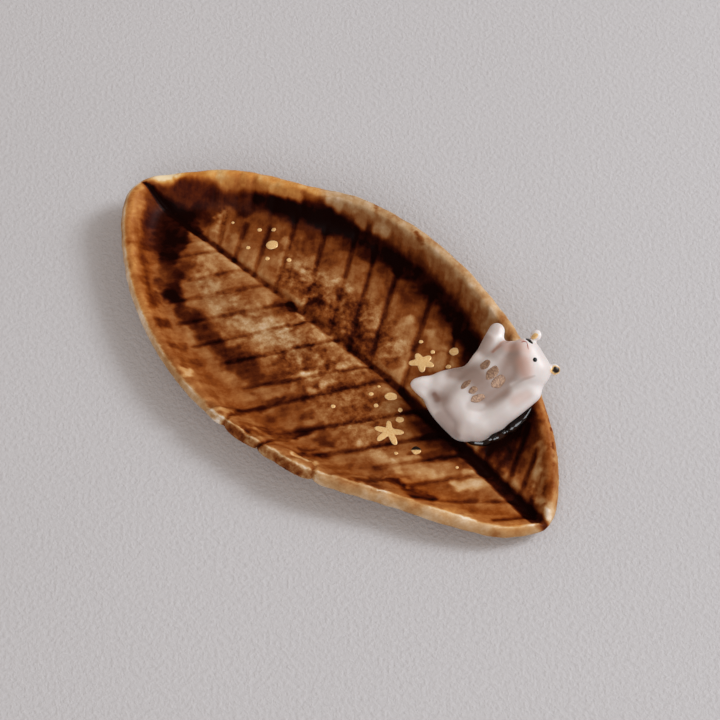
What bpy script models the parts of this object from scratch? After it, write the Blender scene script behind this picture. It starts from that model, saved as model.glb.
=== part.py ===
"""Leaf dish with a resting bear: a slab of clay pressed with a leaf and bent up at its edge.

A small porcelain bear lies on its back against the far wall, bonded by a bed of dark glaze, and
gold lustre stars and dots lie on the glaze. Metres, +Z up. +X runs along the midrib from the
leaf's tip to its stem, +Y to the side that carries the bear. The origin is the middle of the
flat resting foot.
"""

from math import cos, pi, radians, sin, sqrt, tau

import bmesh
import bpy
from mathutils import Matrix, Vector
from mathutils.bvhtree import BVHTree

# Leaf: the length and width that its outline's shares are taken of
LEAF_LENGTH = 0.120
LEAF_WIDTH = 0.062

# Slab and its bent edge
SLAB_THICKNESS = 0.0031
BEND_RADIUS = 0.0050
FAR_RIM_HEIGHT = 0.0110
NEAR_RIM_HEIGHT = 0.0078
LIP_ROUNDING = 0.0009

# Pressed veins: each groove is the print of a round rib of the leaf
MIDRIB_STEM_RADIUS = 0.0019
MIDRIB_TIP_RADIUS = 0.0010
MIDRIB_STEM_DEPTH = 0.0009
MIDRIB_TIP_DEPTH = 0.0005
VEIN_RADIUS = 0.0010
VEIN_DEPTH = 0.0004
NOTCH_DEPTH = 0.0010
VEIN_OVERRUN = 0.0040

# Clearance left between touching pieces, and the glaze under the bear
FIT = 0.0003
GLAZE_BED = 0.0005
GLAZE_BEAD = 0.0016

# Bear: length from foot to crown, and how far it is turned from the leaf's length
BEAR_LENGTH = 0.032
BEAR_TURN = radians(57)

# Gold lustre and black underglaze
LUSTRE_THICKNESS = 0.0002
STAR_RADIUS = 0.0029
LARGE_DOT_RADIUS = 0.0013
MEDIUM_DOT_RADIUS = 0.0010
SMALL_DOT_RADIUS = 0.0005
TINY_DOT_RADIUS = 0.0003
EYE_RADIUS = 0.0005
NOSE_LENGTH = 0.0018
NOSE_WIDTH = 0.0009

# The leaf's edge, tip to stem, as shares of LEAF_LENGTH and LEAF_WIDTH
FAR_EDGE_SHARES = ((-0.514, 0.000), (-0.502, 0.062), (-0.464, 0.146), (-0.409, 0.252), (-0.352, 0.327),
                   (-0.269, 0.400), (-0.178, 0.489), (-0.056, 0.536), (0.056, 0.529), (0.168, 0.489),
                   (0.253, 0.432), (0.340, 0.330), (0.412, 0.240), (0.465, 0.142), (0.494, 0.058),
                   (0.500, 0.000))
NEAR_EDGE_SHARES = ((-0.514, 0.000), (-0.512, -0.056), (-0.486, -0.137), (-0.436, -0.228),
                    (-0.369, -0.319), (-0.291, -0.395), (-0.205, -0.454), (-0.103, -0.489),
                    (-0.010, -0.492), (0.090, -0.466), (0.150, -0.440), (0.205, -0.393),
                    (0.250, -0.348), (0.296, -0.301), (0.368, -0.239), (0.450, -0.142),
                    (0.488, -0.050), (0.500, 0.000))

# The midrib's line, as shares of LEAF_LENGTH and LEAF_WIDTH
MIDRIB_SHARES = ((-0.514, 0.000), (-0.387, 0.019), (-0.240, 0.036), (-0.100, 0.045), (0.060, 0.051),
                 (0.150, 0.050), (0.300, 0.038), (0.410, 0.026), (0.500, 0.004))

# Rim height along each side: share of LEAF_LENGTH, share of that side's full rim height
FAR_RIM_SHARES = ((-0.51, 0.84), (-0.40, 0.98), (-0.20, 1.05), (0.00, 1.02), (0.25, 0.98),
                  (0.38, 0.82), (0.50, 0.47))
NEAR_RIM_SHARES = ((-0.51, 1.18), (-0.44, 1.04), (-0.35, 0.97), (-0.10, 1.00), (0.15, 1.04),
                   (0.35, 0.86), (0.50, 0.66))

# Lean of the wall from level along each side: share of LEAF_LENGTH, degrees
FAR_LEAN_AT_SHARES = ((-0.51, 46), (-0.38, 52), (-0.10, 60), (0.25, 59), (0.40, 52), (0.50, 34))
NEAR_LEAN_AT_SHARES = ((-0.51, 46), (-0.30, 42), (0.10, 43), (0.35, 38), (0.50, 34))

# Where the lateral veins leave the midrib, as shares of LEAF_LENGTH, and their sweep to the tip
FAR_VEIN_SHARES = (-0.350, -0.300, -0.268, -0.220, -0.157, -0.092, -0.032, 0.016, 0.066, 0.141,
                   0.217, 0.283, 0.342, 0.392)
NEAR_VEIN_SHARES = (-0.350, -0.311, -0.239, -0.190, -0.142, -0.090, -0.027, 0.033, 0.100, 0.185,
                    0.250, 0.310, 0.365, 0.410)
NOTCHED_NEAR_VEINS = (8, 9, 10)
VEIN_SWEEP = radians(57)
VEIN_REACH_SHARE = 0.90
VEIN_FADE_SHARE = 0.50

# The floor's spine, that the loft closes on, stays this share of LEAF_LENGTH from each end
SPINE_SHARES = (-0.40, 0.42)

# The point of the floor that the bear's belly lies over, as shares of LEAF_LENGTH and LEAF_WIDTH
BEAR_PLACE_SHARE = (0.258, 0.177)

# Bear: centre line of each rolled lump and its radii, as shares of BEAR_LENGTH. In the bear's own
# frame +X runs from its feet to its crown, +Y to its right side and +Z up from the dish's floor.
TORSO_SHARES = ((-0.085, -0.015, 0.170, 0.166),
                (0.050, 0.026, 0.222, 0.186),
                (0.200, 0.082, 0.318, 0.164))
HEAD_SHARES = ((0.304, 0.052, 0.419, 0.135), (0.322, -0.023, 0.381, 0.138))
LEG_RIGHT_SHARES = ((-0.041, 0.095, 0.184, 0.125),
                    (-0.190, 0.132, 0.172, 0.100),
                    (-0.325, 0.150, 0.153, 0.080))
LEG_LEFT_SHARES = ((-0.030, -0.150, 0.135, 0.140),
                   (-0.110, -0.105, 0.150, 0.135),
                   (-0.205, -0.055, 0.150, 0.115))
ARM_RIGHT_SHARES = ((0.092, 0.173, 0.294, 0.092),
                    (0.122, 0.236, 0.341, 0.072),
                    (0.190, 0.333, 0.388, 0.054))
ARM_LEFT_SHARES = ((0.290, -0.125, 0.320, 0.094),
                   (0.160, -0.165, 0.262, 0.106),
                   (0.030, -0.190, 0.190, 0.104))

# Ears and face, as offsets from the head's middle in shares of BEAR_LENGTH, with the way they face
EAR_RADIUS_SHARE = 0.040
EAR_THICKNESS_SHARE = 0.55
EAR_GOLD_SHARE = 0.50
EAR_GOLD_SHIFT_SHARE = 0.42
EAR_SHARES = {"left": ((0.158, -0.051, -0.009), (0.10, -0.45, 0.89)),
              "right": ((0.075, 0.149, 0.083), (-0.55, -0.10, 0.83))}
EYE_FACINGS = {"left": (0.169, -0.350, 0.921), "right": (0.402, 0.909, -0.037)}
NOSE_FACING = (0.106, 0.589, 0.800)

# Belly spots: place and half sizes as shares of BEAR_LENGTH
BELLY_SPOT_SHARES = ((0.050, 0.070, 0.044, 0.026), (0.077, -0.005, 0.050, 0.034),
                     (0.095, -0.077, 0.048, 0.034), (-0.090, -0.005, 0.036, 0.017),
                     (-0.064, -0.060, 0.032, 0.022), (-0.050, -0.112, 0.038, 0.020))

# Gold on the dish, in three clusters. The middle of the one by the tip is given in shares of
# LEAF_LENGTH and LEAF_WIDTH. The other two have a star in the middle, and theirs are given from the
# bear's place in shares of BEAR_LENGTH.
TIP_CLUSTER_SHARE = (-0.250, 0.169)
UPPER_CLUSTER_SHARE = (-0.519, 0.003)
LOWER_CLUSTER_SHARE = (-0.303, -0.531)
UPPER_STAR_TURN = radians(20)
LOWER_STAR_TURN = radians(44)
STAR_WAIST_SHARE = 0.40
STAR_ARM_SHARPNESS = 1.4

# Dots of each cluster: place from its middle in shares of STAR_RADIUS, and the dot's own radius
TIP_DOT_SHARES = ((-3.62, -0.62, TINY_DOT_RADIUS), (-1.66, 0.34, SMALL_DOT_RADIUS),
                  (-0.90, 1.10, SMALL_DOT_RADIUS), (0.00, 0.00, LARGE_DOT_RADIUS),
                  (-1.10, -1.45, SMALL_DOT_RADIUS), (0.66, -1.14, SMALL_DOT_RADIUS),
                  (1.90, -0.07, SMALL_DOT_RADIUS))
UPPER_DOT_SHARES = ((-1.24, 1.31, SMALL_DOT_RADIUS), (0.03, 1.26, SMALL_DOT_RADIUS),
                    (1.07, 2.38, MEDIUM_DOT_RADIUS), (1.69, 1.17, SMALL_DOT_RADIUS))
LOWER_DOT_SHARES = ((-3.17, 2.28, TINY_DOT_RADIUS), (-2.97, 1.41, SMALL_DOT_RADIUS),
                    (-1.97, 2.28, LARGE_DOT_RADIUS), (-2.21, 0.97, SMALL_DOT_RADIUS),
                    (-4.38, -1.24, SMALL_DOT_RADIUS), (-0.72, 1.93, SMALL_DOT_RADIUS),
                    (-0.17, 1.31, MEDIUM_DOT_RADIUS), (2.41, 0.28, MEDIUM_DOT_RADIUS),
                    (1.55, -0.90, TINY_DOT_RADIUS), (5.45, 1.28, TINY_DOT_RADIUS))
DOT_ROUNDNESS = 0.88

# Bed of glaze under the bear: its outline about the bear's own origin, in shares of BEAR_LENGTH
BED_SHARES = ((0.29, -0.02), (0.25, 0.14), (0.10, 0.23), (-0.08, 0.22), (-0.20, 0.12), (-0.22, -0.08),
              (-0.14, -0.215), (0.02, -0.275), (0.17, -0.245), (0.275, -0.175))
BED_EDGE_SHARE = 0.25

# Fineness of the curved surfaces
SIDE_STEPS = 44
BEND_STEPS = 4
LIP_STEPS = 3
SPLINE_STEPS = 8
NOTCHED_STEPS = 14
BED_STEPS = 3
BED_RINGS = 6

STONEWARE = ("glazed stoneware", (0.42, 0.20, 0.075), 0.22, 0.0)
DARK_GLAZE = ("pooled dark glaze", (0.016, 0.006, 0.003), 0.10, 0.0)
PORCELAIN = ("white porcelain", (0.80, 0.75, 0.73), 0.28, 0.0)
GOLD = ("gold lustre", (0.86, 0.55, 0.22), 0.22, 1.0)
BLACK = ("black underglaze", (0.012, 0.011, 0.011), 0.25, 0.0)


def clear_scene():
    for item in list(bpy.data.objects):
        bpy.data.objects.remove(item, do_unlink=True)


def material(look):
    """The look's Principled material, made on first use."""
    name, colour, roughness, metallic = look
    if name in bpy.data.materials:
        return bpy.data.materials[name]
    made = bpy.data.materials.new(name)
    made.use_nodes = True
    shader = made.node_tree.nodes["Principled BSDF"]
    shader.inputs["Base Color"].default_value = (*colour, 1.0)
    shader.inputs["Roughness"].default_value = roughness
    shader.inputs["Metallic"].default_value = metallic
    return made


def add_object(name, bm, look):
    """Turn a bmesh into a smooth-shaded object that carries the look's material."""
    mesh = bpy.data.meshes.new(name)
    bm.to_mesh(mesh)
    bm.free()
    mesh.shade_smooth()
    mesh.set_sharp_from_angle(angle=radians(50))
    mesh.materials.append(material(look))
    made = bpy.data.objects.new(name, mesh)
    bpy.context.scene.collection.objects.link(made)
    return made


def guide(item):
    """Mark an object as a cutter or a guide, which is no piece of the dish."""
    item.hide_render = True
    item.display_type = "WIRE"
    return item


def cut(target, cutter):
    """Cut the target with a hidden cutter that stays in the scene."""
    boolean = target.modifiers.new("cut by " + cutter.name, "BOOLEAN")
    boolean.operation = "DIFFERENCE"
    boolean.solver = "EXACT"
    boolean.object = guide(cutter)


def smooth_path(points, steps):
    """Points along a smooth curve through the given points, of any dimension."""
    points = [Vector(point) for point in points]
    padded = [2 * points[0] - points[1], *points, 2 * points[-1] - points[-2]]
    path = []
    for before, start, end, after in zip(padded, padded[1:], padded[2:], padded[3:]):
        for step in range(steps):
            t = step / steps
            path.append(0.5 * ((2 * start) + (end - before) * t
                               + (2 * before - 5 * start + 4 * end - after) * t ** 2
                               + (3 * start - before - 3 * end + after) * t ** 3))
    return path + [points[-1]]


def at_even_steps(path, count):
    """Resample a path at equal distances along it, both ends kept."""
    reached = [0.0]
    for start, end in zip(path, path[1:]):
        reached.append(reached[-1] + (end - start).length)
    even = []
    segment = 0
    for step in range(count + 1):
        goal = reached[-1] * step / count
        while segment < len(path) - 2 and reached[segment + 1] < goal:
            segment += 1
        span = reached[segment + 1] - reached[segment]
        even.append(path[segment].lerp(path[segment + 1], (goal - reached[segment]) / span))
    return even


def follow(table, place):
    """Read a table of (place, value) pairs, easing from each pair to the next."""
    if place <= table[0][0]:
        return table[0][1]
    for (start, low), (end, high) in zip(table, table[1:]):
        if place <= end:
            t = (place - start) / (end - start)
            return low + (high - low) * t * t * (3 - 2 * t)
    return table[-1][1]


def leaf_point(along_share, across_share):
    return Vector((along_share * LEAF_LENGTH, across_share * LEAF_WIDTH))


def midrib_at(along):
    """The midrib's plan point at a distance along the leaf."""
    for start, end in zip(MIDRIB_LINE, MIDRIB_LINE[1:]):
        if along <= end.x:
            return start.lerp(end, max(0.0, (along - start.x) / (end.x - start.x)))
    return MIDRIB_LINE[-1].copy()


MIDRIB_LINE = smooth_path([leaf_point(*share) for share in MIDRIB_SHARES], SPLINE_STEPS)


def slab_profile(lean, rim_height, grow):
    """Section of the bent slab as (inset from the outer edge, height) pairs, floor to foot.

    The slab's middle line runs level, bends up on a round form and rises at the lean to the cut
    lip. The two faces lie half a slab to each side, and the lip's corners are rounded.
    """
    half = SLAB_THICKNESS / 2
    middle_radius = BEND_RADIUS + half
    bend_rise = middle_radius * (1 - cos(lean))
    wall = (rim_height - half * cos(lean) - half - bend_rise) / sin(lean)
    lip_out = middle_radius * sin(lean) + wall * cos(lean)
    edge_out = lip_out + half * sin(lean)
    up_wall = Vector((cos(lean), sin(lean)))
    lip = Vector((lip_out, half + bend_rise + wall * sin(lean)))

    def on_bend(angle, side):
        reach = middle_radius - side * (half + grow)
        return Vector((reach * sin(angle), half + middle_radius - reach * cos(angle)))

    def lip_corner(side, turn):
        inward = side * Vector((-sin(lean), cos(lean)))
        centre = lip - LIP_ROUNDING * up_wall + inward * (half - LIP_ROUNDING)
        return centre + (LIP_ROUNDING + grow) * (cos(turn) * inward + sin(turn) * up_wall)

    angles = [lean * step / BEND_STEPS for step in range(BEND_STEPS + 1)]
    turns = [pi / 2 * step / (LIP_STEPS - 1) for step in range(LIP_STEPS)]
    section = [on_bend(angle, 1) for angle in angles]
    section += [lip_corner(1, turn) for turn in turns]
    section += [lip_corner(-1, turn) for turn in reversed(turns)]
    section += [on_bend(angle, -1) for angle in reversed(angles)]
    return [(edge_out - point.x, point.y) for point in section]


def edge_stations():
    """Points round the leaf's edge with the lean and the rim height of the wall at each."""
    stations = []
    sides = ((FAR_EDGE_SHARES, FAR_LEAN_AT_SHARES, FAR_RIM_SHARES, FAR_RIM_HEIGHT, 1),
             (NEAR_EDGE_SHARES, NEAR_LEAN_AT_SHARES, NEAR_RIM_SHARES, NEAR_RIM_HEIGHT, -1))
    for edge, leans, heights, full_height, direction in sides:
        line = at_even_steps(smooth_path([leaf_point(*share) for share in edge], SPLINE_STEPS), SIDE_STEPS)
        walked = line[:-1] if direction == 1 else line[:0:-1]
        for point in walked:
            share = point.x / LEAF_LENGTH
            stations.append((point, radians(follow(leans, share)), full_height * follow(heights, share)))
    return stations


def slab_mesh(name, grow):
    """The bent slab as a loft of closed rings, each at one step of the section."""
    stations = edge_stations()
    rings = []
    for index, (point, lean, height) in enumerate(stations):
        before, after = stations[index - 1][0], stations[(index + 1) % len(stations)][0]
        tangent = (after - before).normalized()
        inward = Vector((tangent.y, -tangent.x))
        low, high = (share * LEAF_LENGTH for share in SPINE_SHARES)
        spoke = midrib_at(low + (high - low) * (point.x / LEAF_LENGTH + 0.5)) - point
        spoke.normalize()
        spoke /= spoke.dot(inward)
        for ring, (inset, level) in enumerate(slab_profile(lean, height, grow)):
            if index == 0:
                rings.append([])
            rings[ring].append((point + spoke * inset).to_3d() + Vector((0, 0, level)))
    bm = bmesh.new()
    loops = []
    for ring in rings:
        verts = [bm.verts.new(place) for place in ring]
        loops.append([bm.edges.new((verts[i - 1], verts[i])) for i in range(len(verts))])
    for lower, upper in zip(loops, loops[1:]):
        bmesh.ops.bridge_loops(bm, edges=lower + upper)
    bmesh.ops.contextual_create(bm, geom=loops[0])
    bmesh.ops.contextual_create(bm, geom=loops[-1])
    bmesh.ops.recalc_face_normals(bm, faces=bm.faces)
    return add_object(name, bm, STONEWARE)


def surface_of(item):
    """A tree that answers where a vertical line meets the object's upper face."""
    bm = bmesh.new()
    bm.from_mesh(item.data)
    tree = BVHTree.FromBMesh(bm)
    bm.free()
    return tree


def height_at(tree, place):
    """Height of the upper face over a plan point, or None beyond the edge."""
    above = Vector((place.x, place.y, LEAF_LENGTH))
    hit = tree.ray_cast(above, Vector((0, 0, -1)))[0]
    return hit.z if hit else None


def rod(name, points, radii, look, sides=2):
    """A round rod that tapers along a line of points, with filled ends."""
    curve = bpy.data.curves.new(name, "CURVE")
    curve.dimensions = "3D"
    curve.bevel_depth = 1.0
    curve.bevel_resolution = sides
    curve.use_fill_caps = True
    spline = curve.splines.new("POLY")
    spline.points.add(len(points) - 1)
    for knot, point, radius in zip(spline.points, points, radii):
        knot.co = (*point, 1.0)
        knot.radius = radius
    drawn = bpy.data.objects.new(name, curve)
    bm = bmesh.new()
    bm.from_mesh(drawn.to_mesh())
    drawn.to_mesh_clear()
    bpy.data.objects.remove(drawn)
    bmesh.ops.remove_doubles(bm, verts=bm.verts, dist=FIT / 100)
    bmesh.ops.recalc_face_normals(bm, faces=bm.faces)
    return add_object(name, bm, look)


def rib_over(name, tree, plan, radii, depths):
    """A rib laid along a plan line so that it prints its groove to the given depths."""
    levels = [height_at(tree, place) for place in plan]
    levels[0] = levels[1] if levels[0] is None else levels[0]
    levels[-1] = levels[-2] if levels[-1] is None else levels[-1]
    points = []
    for place, level, radius, depth in zip(plan, levels, radii, depths):
        points.append((place.x, place.y, level + radius - depth))
    return guide(rod(name, points, radii, STONEWARE))


def midrib_rib(tree):
    """The leaf's midrib, thin at the tip, thick at the stem, cutting through the lip at both ends."""
    line = at_even_steps(MIDRIB_LINE, SIDE_STEPS)
    tip_way = (line[0] - line[1]).normalized()
    stem_way = (line[-1] - line[-2]).normalized()
    inner = line[1:-1]
    plan = [line[0] + tip_way * VEIN_OVERRUN, *inner, line[-1] + stem_way * VEIN_OVERRUN]
    shares = [index / (len(plan) - 1) for index in range(len(plan))]
    radii = [MIDRIB_TIP_RADIUS + (MIDRIB_STEM_RADIUS - MIDRIB_TIP_RADIUS) * share for share in shares]
    depths = [MIDRIB_TIP_DEPTH + (MIDRIB_STEM_DEPTH - MIDRIB_TIP_DEPTH) * share for share in shares]
    return rib_over("midrib_rib", tree, plan, radii, depths)


def edge_crossing(start, way):
    """How far a plan line runs from start before it meets the leaf's edge."""
    corners = [station[0] for station in edge_stations()]
    nearest = LEAF_LENGTH
    for a, b in zip(corners, corners[1:] + corners[:1]):
        side = b - a
        cross = way.x * side.y - way.y * side.x
        if abs(cross) > 0:
            offset = a - start
            along = (offset.x * side.y - offset.y * side.x) / cross
            place = (offset.x * way.y - offset.y * way.x) / cross
            if along > 0 and 0 <= place <= 1:
                nearest = min(nearest, along)
    return nearest


def lateral_ribs(tree):
    """The side veins: they leave the midrib, sweep to the tip and thin out on the wall."""
    ribs = []
    for side, shares in ((1, FAR_VEIN_SHARES), (-1, NEAR_VEIN_SHARES)):
        for index, share in enumerate(shares):
            root = midrib_at(share * LEAF_LENGTH)
            way = Vector((-cos(VEIN_SWEEP), side * sin(VEIN_SWEEP)))
            run = edge_crossing(root, way)
            notched = side == -1 and index in NOTCHED_NEAR_VEINS
            steps = NOTCHED_STEPS if notched else SPLINE_STEPS
            end = run - LIP_ROUNDING if notched else run * VEIN_REACH_SHARE
            plan = [root + way * end * step / steps for step in range(steps + 1)]
            fades = [1.0 if notched else 1 - VEIN_FADE_SHARE * step / steps for step in range(steps + 1)]
            depths = [VEIN_DEPTH * fade for fade in fades]
            radii = [VEIN_RADIUS * fade for fade in fades]
            if notched:
                plan.append(root + way * (run + VEIN_OVERRUN))
                radii.append(radii[-1])
                depths[-1:] = [NOTCH_DEPTH, NOTCH_DEPTH]
            name = "{}_rib_{:02d}".format("far" if side == 1 else "near", index + 1)
            ribs.append(rib_over(name, tree, plan, radii, depths))
    return ribs


def leaf_dish(tree):
    dish = slab_mesh("leaf_dish", 0.0)
    ribs = bpy.data.collections.new("leaf_ribs")
    bpy.context.scene.collection.children.link(ribs)
    for rib in [midrib_rib(tree), *lateral_ribs(tree)]:
        bpy.context.scene.collection.objects.unlink(rib)
        ribs.objects.link(rib)
    boolean = dish.modifiers.new("leaf print", "BOOLEAN")
    boolean.operation = "DIFFERENCE"
    boolean.solver = "EXACT"
    boolean.operand_type = "COLLECTION"
    boolean.collection = ribs
    return dish


def bear_frame():
    """The bear's own frame: feet to crown along +X, its right side at +Y, on the dish's floor."""
    place = leaf_point(*BEAR_PLACE_SHARE)
    return Matrix.Translation((place.x, place.y, SLAB_THICKNESS)) @ Matrix.Rotation(BEAR_TURN, 4, "Z")


def clay_roll(name, shares, grow, look, around=20, along=12):
    """A lump rolled by hand: round ends, and a radius that changes along a curved middle line."""
    path = smooth_path([Vector(share) * BEAR_LENGTH for share in shares], SPLINE_STEPS)
    length = sum((end - start).to_3d().length for start, end in zip(path, path[1:]))
    path = at_even_steps([knot.copy() for knot in path], SPLINE_STEPS)
    first, last = path[0].w, path[-1].w
    bm = bmesh.new()
    bmesh.ops.create_uvsphere(bm, u_segments=around, v_segments=along, radius=1.0)
    for vert in bm.verts:
        walked = 0.5 * (vert.co.z + 1) * (first + length + last) - first
        inside = min(max(walked, 0.0), length)
        step = inside / length * (len(path) - 1)
        low = min(int(step), len(path) - 2)
        knot = path[low].lerp(path[low + 1], step - low)
        ahead, behind = path[min(low + 2, len(path) - 1)], path[max(low - 1, 0)]
        way = (ahead - behind).to_3d().normalized()
        beyond = walked - inside
        ring = sqrt(max(0.0, knot.w ** 2 - beyond ** 2))
        sideways = Vector((0, 0, 1)).cross(way).normalized()
        upward = way.cross(sideways)
        flat = Vector((vert.co.x, vert.co.y)).normalized()
        offset = way * beyond + (sideways * flat.x + upward * flat.y) * ring
        vert.co = knot.to_3d() + offset + offset.normalized() * grow
    bm.transform(bear_frame())
    return add_object(name, bm, look)


def flat_patch(name, outline, look, rings=1):
    """A flat patch with the given outline about its own origin, ready to be draped."""
    bm = bmesh.new()
    edge = [bm.verts.new((*point, 0)) for point in outline]
    for ring in range(1, rings):
        inner = [bm.verts.new((*(point * (1 - ring / rings)), 0)) for point in outline]
        for i in range(len(outline)):
            bm.faces.new((edge[i - 1], edge[i], inner[i], inner[i - 1]))
        edge = inner
    centre = bm.verts.new((0, 0, 0))
    for i in range(len(outline)):
        bm.faces.new((edge[i - 1], edge[i], centre))
    return add_object(name, bm, look)


def drape(patch, placing, target, thickness):
    """Lay a patch on the target along its own -Z, a fit above it, and give it its thickness."""
    patch.matrix_world = placing
    wrap = patch.modifiers.new("laid on " + target.name, "SHRINKWRAP")
    wrap.target = target
    wrap.wrap_method = "PROJECT"
    wrap.wrap_mode = "ABOVE_SURFACE"
    wrap.use_project_z = True
    wrap.use_negative_direction = True
    wrap.use_positive_direction = False
    wrap.offset = FIT
    thicken = patch.modifiers.new("thickness", "SOLIDIFY")
    thicken.thickness = thickness
    thicken.offset = 1.0
    return patch


def dot_outline(radius, roundness, steps=10):
    return [Vector((radius * cos(tau * i / steps), radius * roundness * sin(tau * i / steps)))
            for i in range(steps)]


def star_outline(radius, arms=5, steps=40):
    """A soft star brushed by hand: its radius swells once for each rounded arm."""
    outline = []
    for i in range(steps):
        turn = tau * i / steps
        swell = ((1 + cos(arms * turn)) / 2) ** STAR_ARM_SHARPNESS
        reach = radius * (STAR_WAIST_SHARE + (1 - STAR_WAIST_SHARE) * swell)
        outline.append(Vector((reach * cos(turn), reach * sin(turn))))
    return outline


def over_dish(place, turn):
    """Placing for a patch over the dish: its origin above the plan point, its -Z down."""
    return Matrix.Translation((place.x, place.y, FAR_RIM_HEIGHT)) @ Matrix.Rotation(turn, 4, "Z")


def gold_marks(seat):
    """Stars and dots of gold lustre, laid on the dish in their clusters."""
    beside_bear = leaf_point(*BEAR_PLACE_SHARE)
    tip = leaf_point(*TIP_CLUSTER_SHARE)
    upper = beside_bear + Vector(UPPER_CLUSTER_SHARE) * BEAR_LENGTH
    lower = beside_bear + Vector(LOWER_CLUSTER_SHARE) * BEAR_LENGTH
    for index, (middle, turn) in enumerate(((upper, UPPER_STAR_TURN), (lower, LOWER_STAR_TURN))):
        star = flat_patch("gold_star_{}".format(index + 1), star_outline(STAR_RADIUS), GOLD)
        drape(star, over_dish(middle, turn), seat, LUSTRE_THICKNESS)
    dots = []
    for middle, shares in ((tip, TIP_DOT_SHARES), (upper, UPPER_DOT_SHARES), (lower, LOWER_DOT_SHARES)):
        for along, across, radius in shares:
            dots.append((middle + Vector((along, across)) * STAR_RADIUS, radius))
    for index, (place, radius) in enumerate(dots):
        outline = dot_outline(radius, DOT_ROUNDNESS)
        dot = flat_patch("gold_dot_{:02d}".format(index + 1), outline, GOLD)
        drape(dot, over_dish(place, 0.0), seat, LUSTRE_THICKNESS)


def glaze_pool(dish_seat, bear_cutters):
    """The bed of glaze under the bear, swollen to a bead where it meets the bear's side."""
    corners = [Vector(share) * BEAR_LENGTH for share in BED_SHARES]
    outline = smooth_path(corners + corners[:1], BED_STEPS)[:-1]
    pool = flat_patch("glaze_pool", outline, DARK_GLAZE, rings=BED_RINGS)
    edge = list(range(len(outline)))
    inside = list(range(len(outline), len(pool.data.vertices)))
    swell = pool.vertex_groups.new(name="swell")
    swell.add(inside, 1.0, "REPLACE")
    swell.add(edge, BED_EDGE_SHARE, "REPLACE")
    drape(pool, Matrix.Translation((0, 0, FAR_RIM_HEIGHT)) @ bear_frame(), dish_seat, GLAZE_BEAD)
    pool.modifiers["thickness"].vertex_group = swell.name
    for cutter in bear_cutters:
        cut(pool, cutter)
    return pool


def bear(seat_cutter, bed_cutter):
    """The bear's lumps, largest first, each cut where it meets the larger ones and its bed.

    Each lump also leaves a cutter a fit larger, its room, that stops at the bed of glaze.
    """
    lumps = (("bear_torso", TORSO_SHARES), ("bear_head", HEAD_SHARES), ("bear_leg_left", LEG_LEFT_SHARES),
             ("bear_leg_right", LEG_RIGHT_SHARES), ("bear_arm_left", ARM_LEFT_SHARES),
             ("bear_arm_right", ARM_RIGHT_SHARES))
    cutters = []
    made = {}
    for name, shares in lumps:
        lump = clay_roll(name, shares, 0.0, PORCELAIN)
        cut(lump, seat_cutter)
        for cutter in cutters:
            cut(lump, cutter)
        room = guide(clay_roll(name + "_room", shares, FIT, PORCELAIN))
        cut(room, bed_cutter)
        cutters.append(room)
        made[name] = lump
    return made, cutters


def facing_matrix(place, facing):
    """A frame at the place, in the bear's frame, whose +Z points the way it faces."""
    turn = Vector(facing).to_track_quat("Z", "Y").to_matrix().to_4x4()
    return bear_frame() @ Matrix.Translation(place) @ turn


def head_middle():
    first, last = (Vector(share[:3]) for share in HEAD_SHARES)
    return (first + last) / 2 * BEAR_LENGTH


def ears(head_cutter):
    radius = EAR_RADIUS_SHARE * BEAR_LENGTH
    for side, (offset, facing) in EAR_SHARES.items():
        place = head_middle() + Vector(offset) * BEAR_LENGTH
        bm = bmesh.new()
        bmesh.ops.create_uvsphere(bm, u_segments=14, v_segments=9, radius=radius)
        bmesh.ops.scale(bm, vec=(1, 1, EAR_THICKNESS_SHARE), verts=bm.verts)
        bm.transform(facing_matrix(place, facing))
        ear = add_object("bear_ear_" + side, bm, PORCELAIN)
        cut(ear, head_cutter)
        gold = flat_patch("ear_gold_" + side, dot_outline(radius * EAR_GOLD_SHARE, 1.0), GOLD)
        outward = Vector(offset).normalized() * radius * EAR_GOLD_SHIFT_SHARE
        lifted = facing_matrix(place + outward, facing) @ Matrix.Translation((0, 0, radius * 2))
        drape(gold, lifted, ear, LUSTRE_THICKNESS)


def face(head):
    reach = BEAR_LENGTH / 3
    for side, facing in EYE_FACINGS.items():
        eye = flat_patch("bear_eye_" + side, dot_outline(EYE_RADIUS, 1.0), BLACK)
        drape(eye, facing_matrix(head_middle() + Vector(facing) * reach, facing), head, LUSTRE_THICKNESS)
    nose = flat_patch("bear_nose", dot_outline(NOSE_LENGTH / 2, NOSE_WIDTH / NOSE_LENGTH), BLACK)
    place = head_middle() + Vector(NOSE_FACING) * reach
    drape(nose, facing_matrix(place, NOSE_FACING), head, LUSTRE_THICKNESS)


def belly_spots(torso):
    for index, (along, across, half_length, half_width) in enumerate(BELLY_SPOT_SHARES):
        outline = dot_outline(half_length * BEAR_LENGTH, half_width / half_length)
        spot = flat_patch("belly_spot_{}".format(index + 1), outline, GOLD, rings=2)
        place = bear_frame() @ Matrix.Translation((along * BEAR_LENGTH, across * BEAR_LENGTH, BEAR_LENGTH))
        drape(spot, place, torso, LUSTRE_THICKNESS)


def main():
    clear_scene()
    seat = guide(slab_mesh("smooth_slab", 0.0))
    tree = surface_of(seat)
    leaf_dish(tree)
    bed_top = guide(slab_mesh("bed_top", FIT + GLAZE_BED))
    bear_seat = guide(slab_mesh("bear_seat", FIT + GLAZE_BED + FIT))
    lumps, rooms = bear(bear_seat, bed_top)
    glaze_pool(seat, rooms)
    ears(rooms[1])
    face(lumps["bear_head"])
    belly_spots(lumps["bear_torso"])
    gold_marks(seat)


main()
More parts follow.
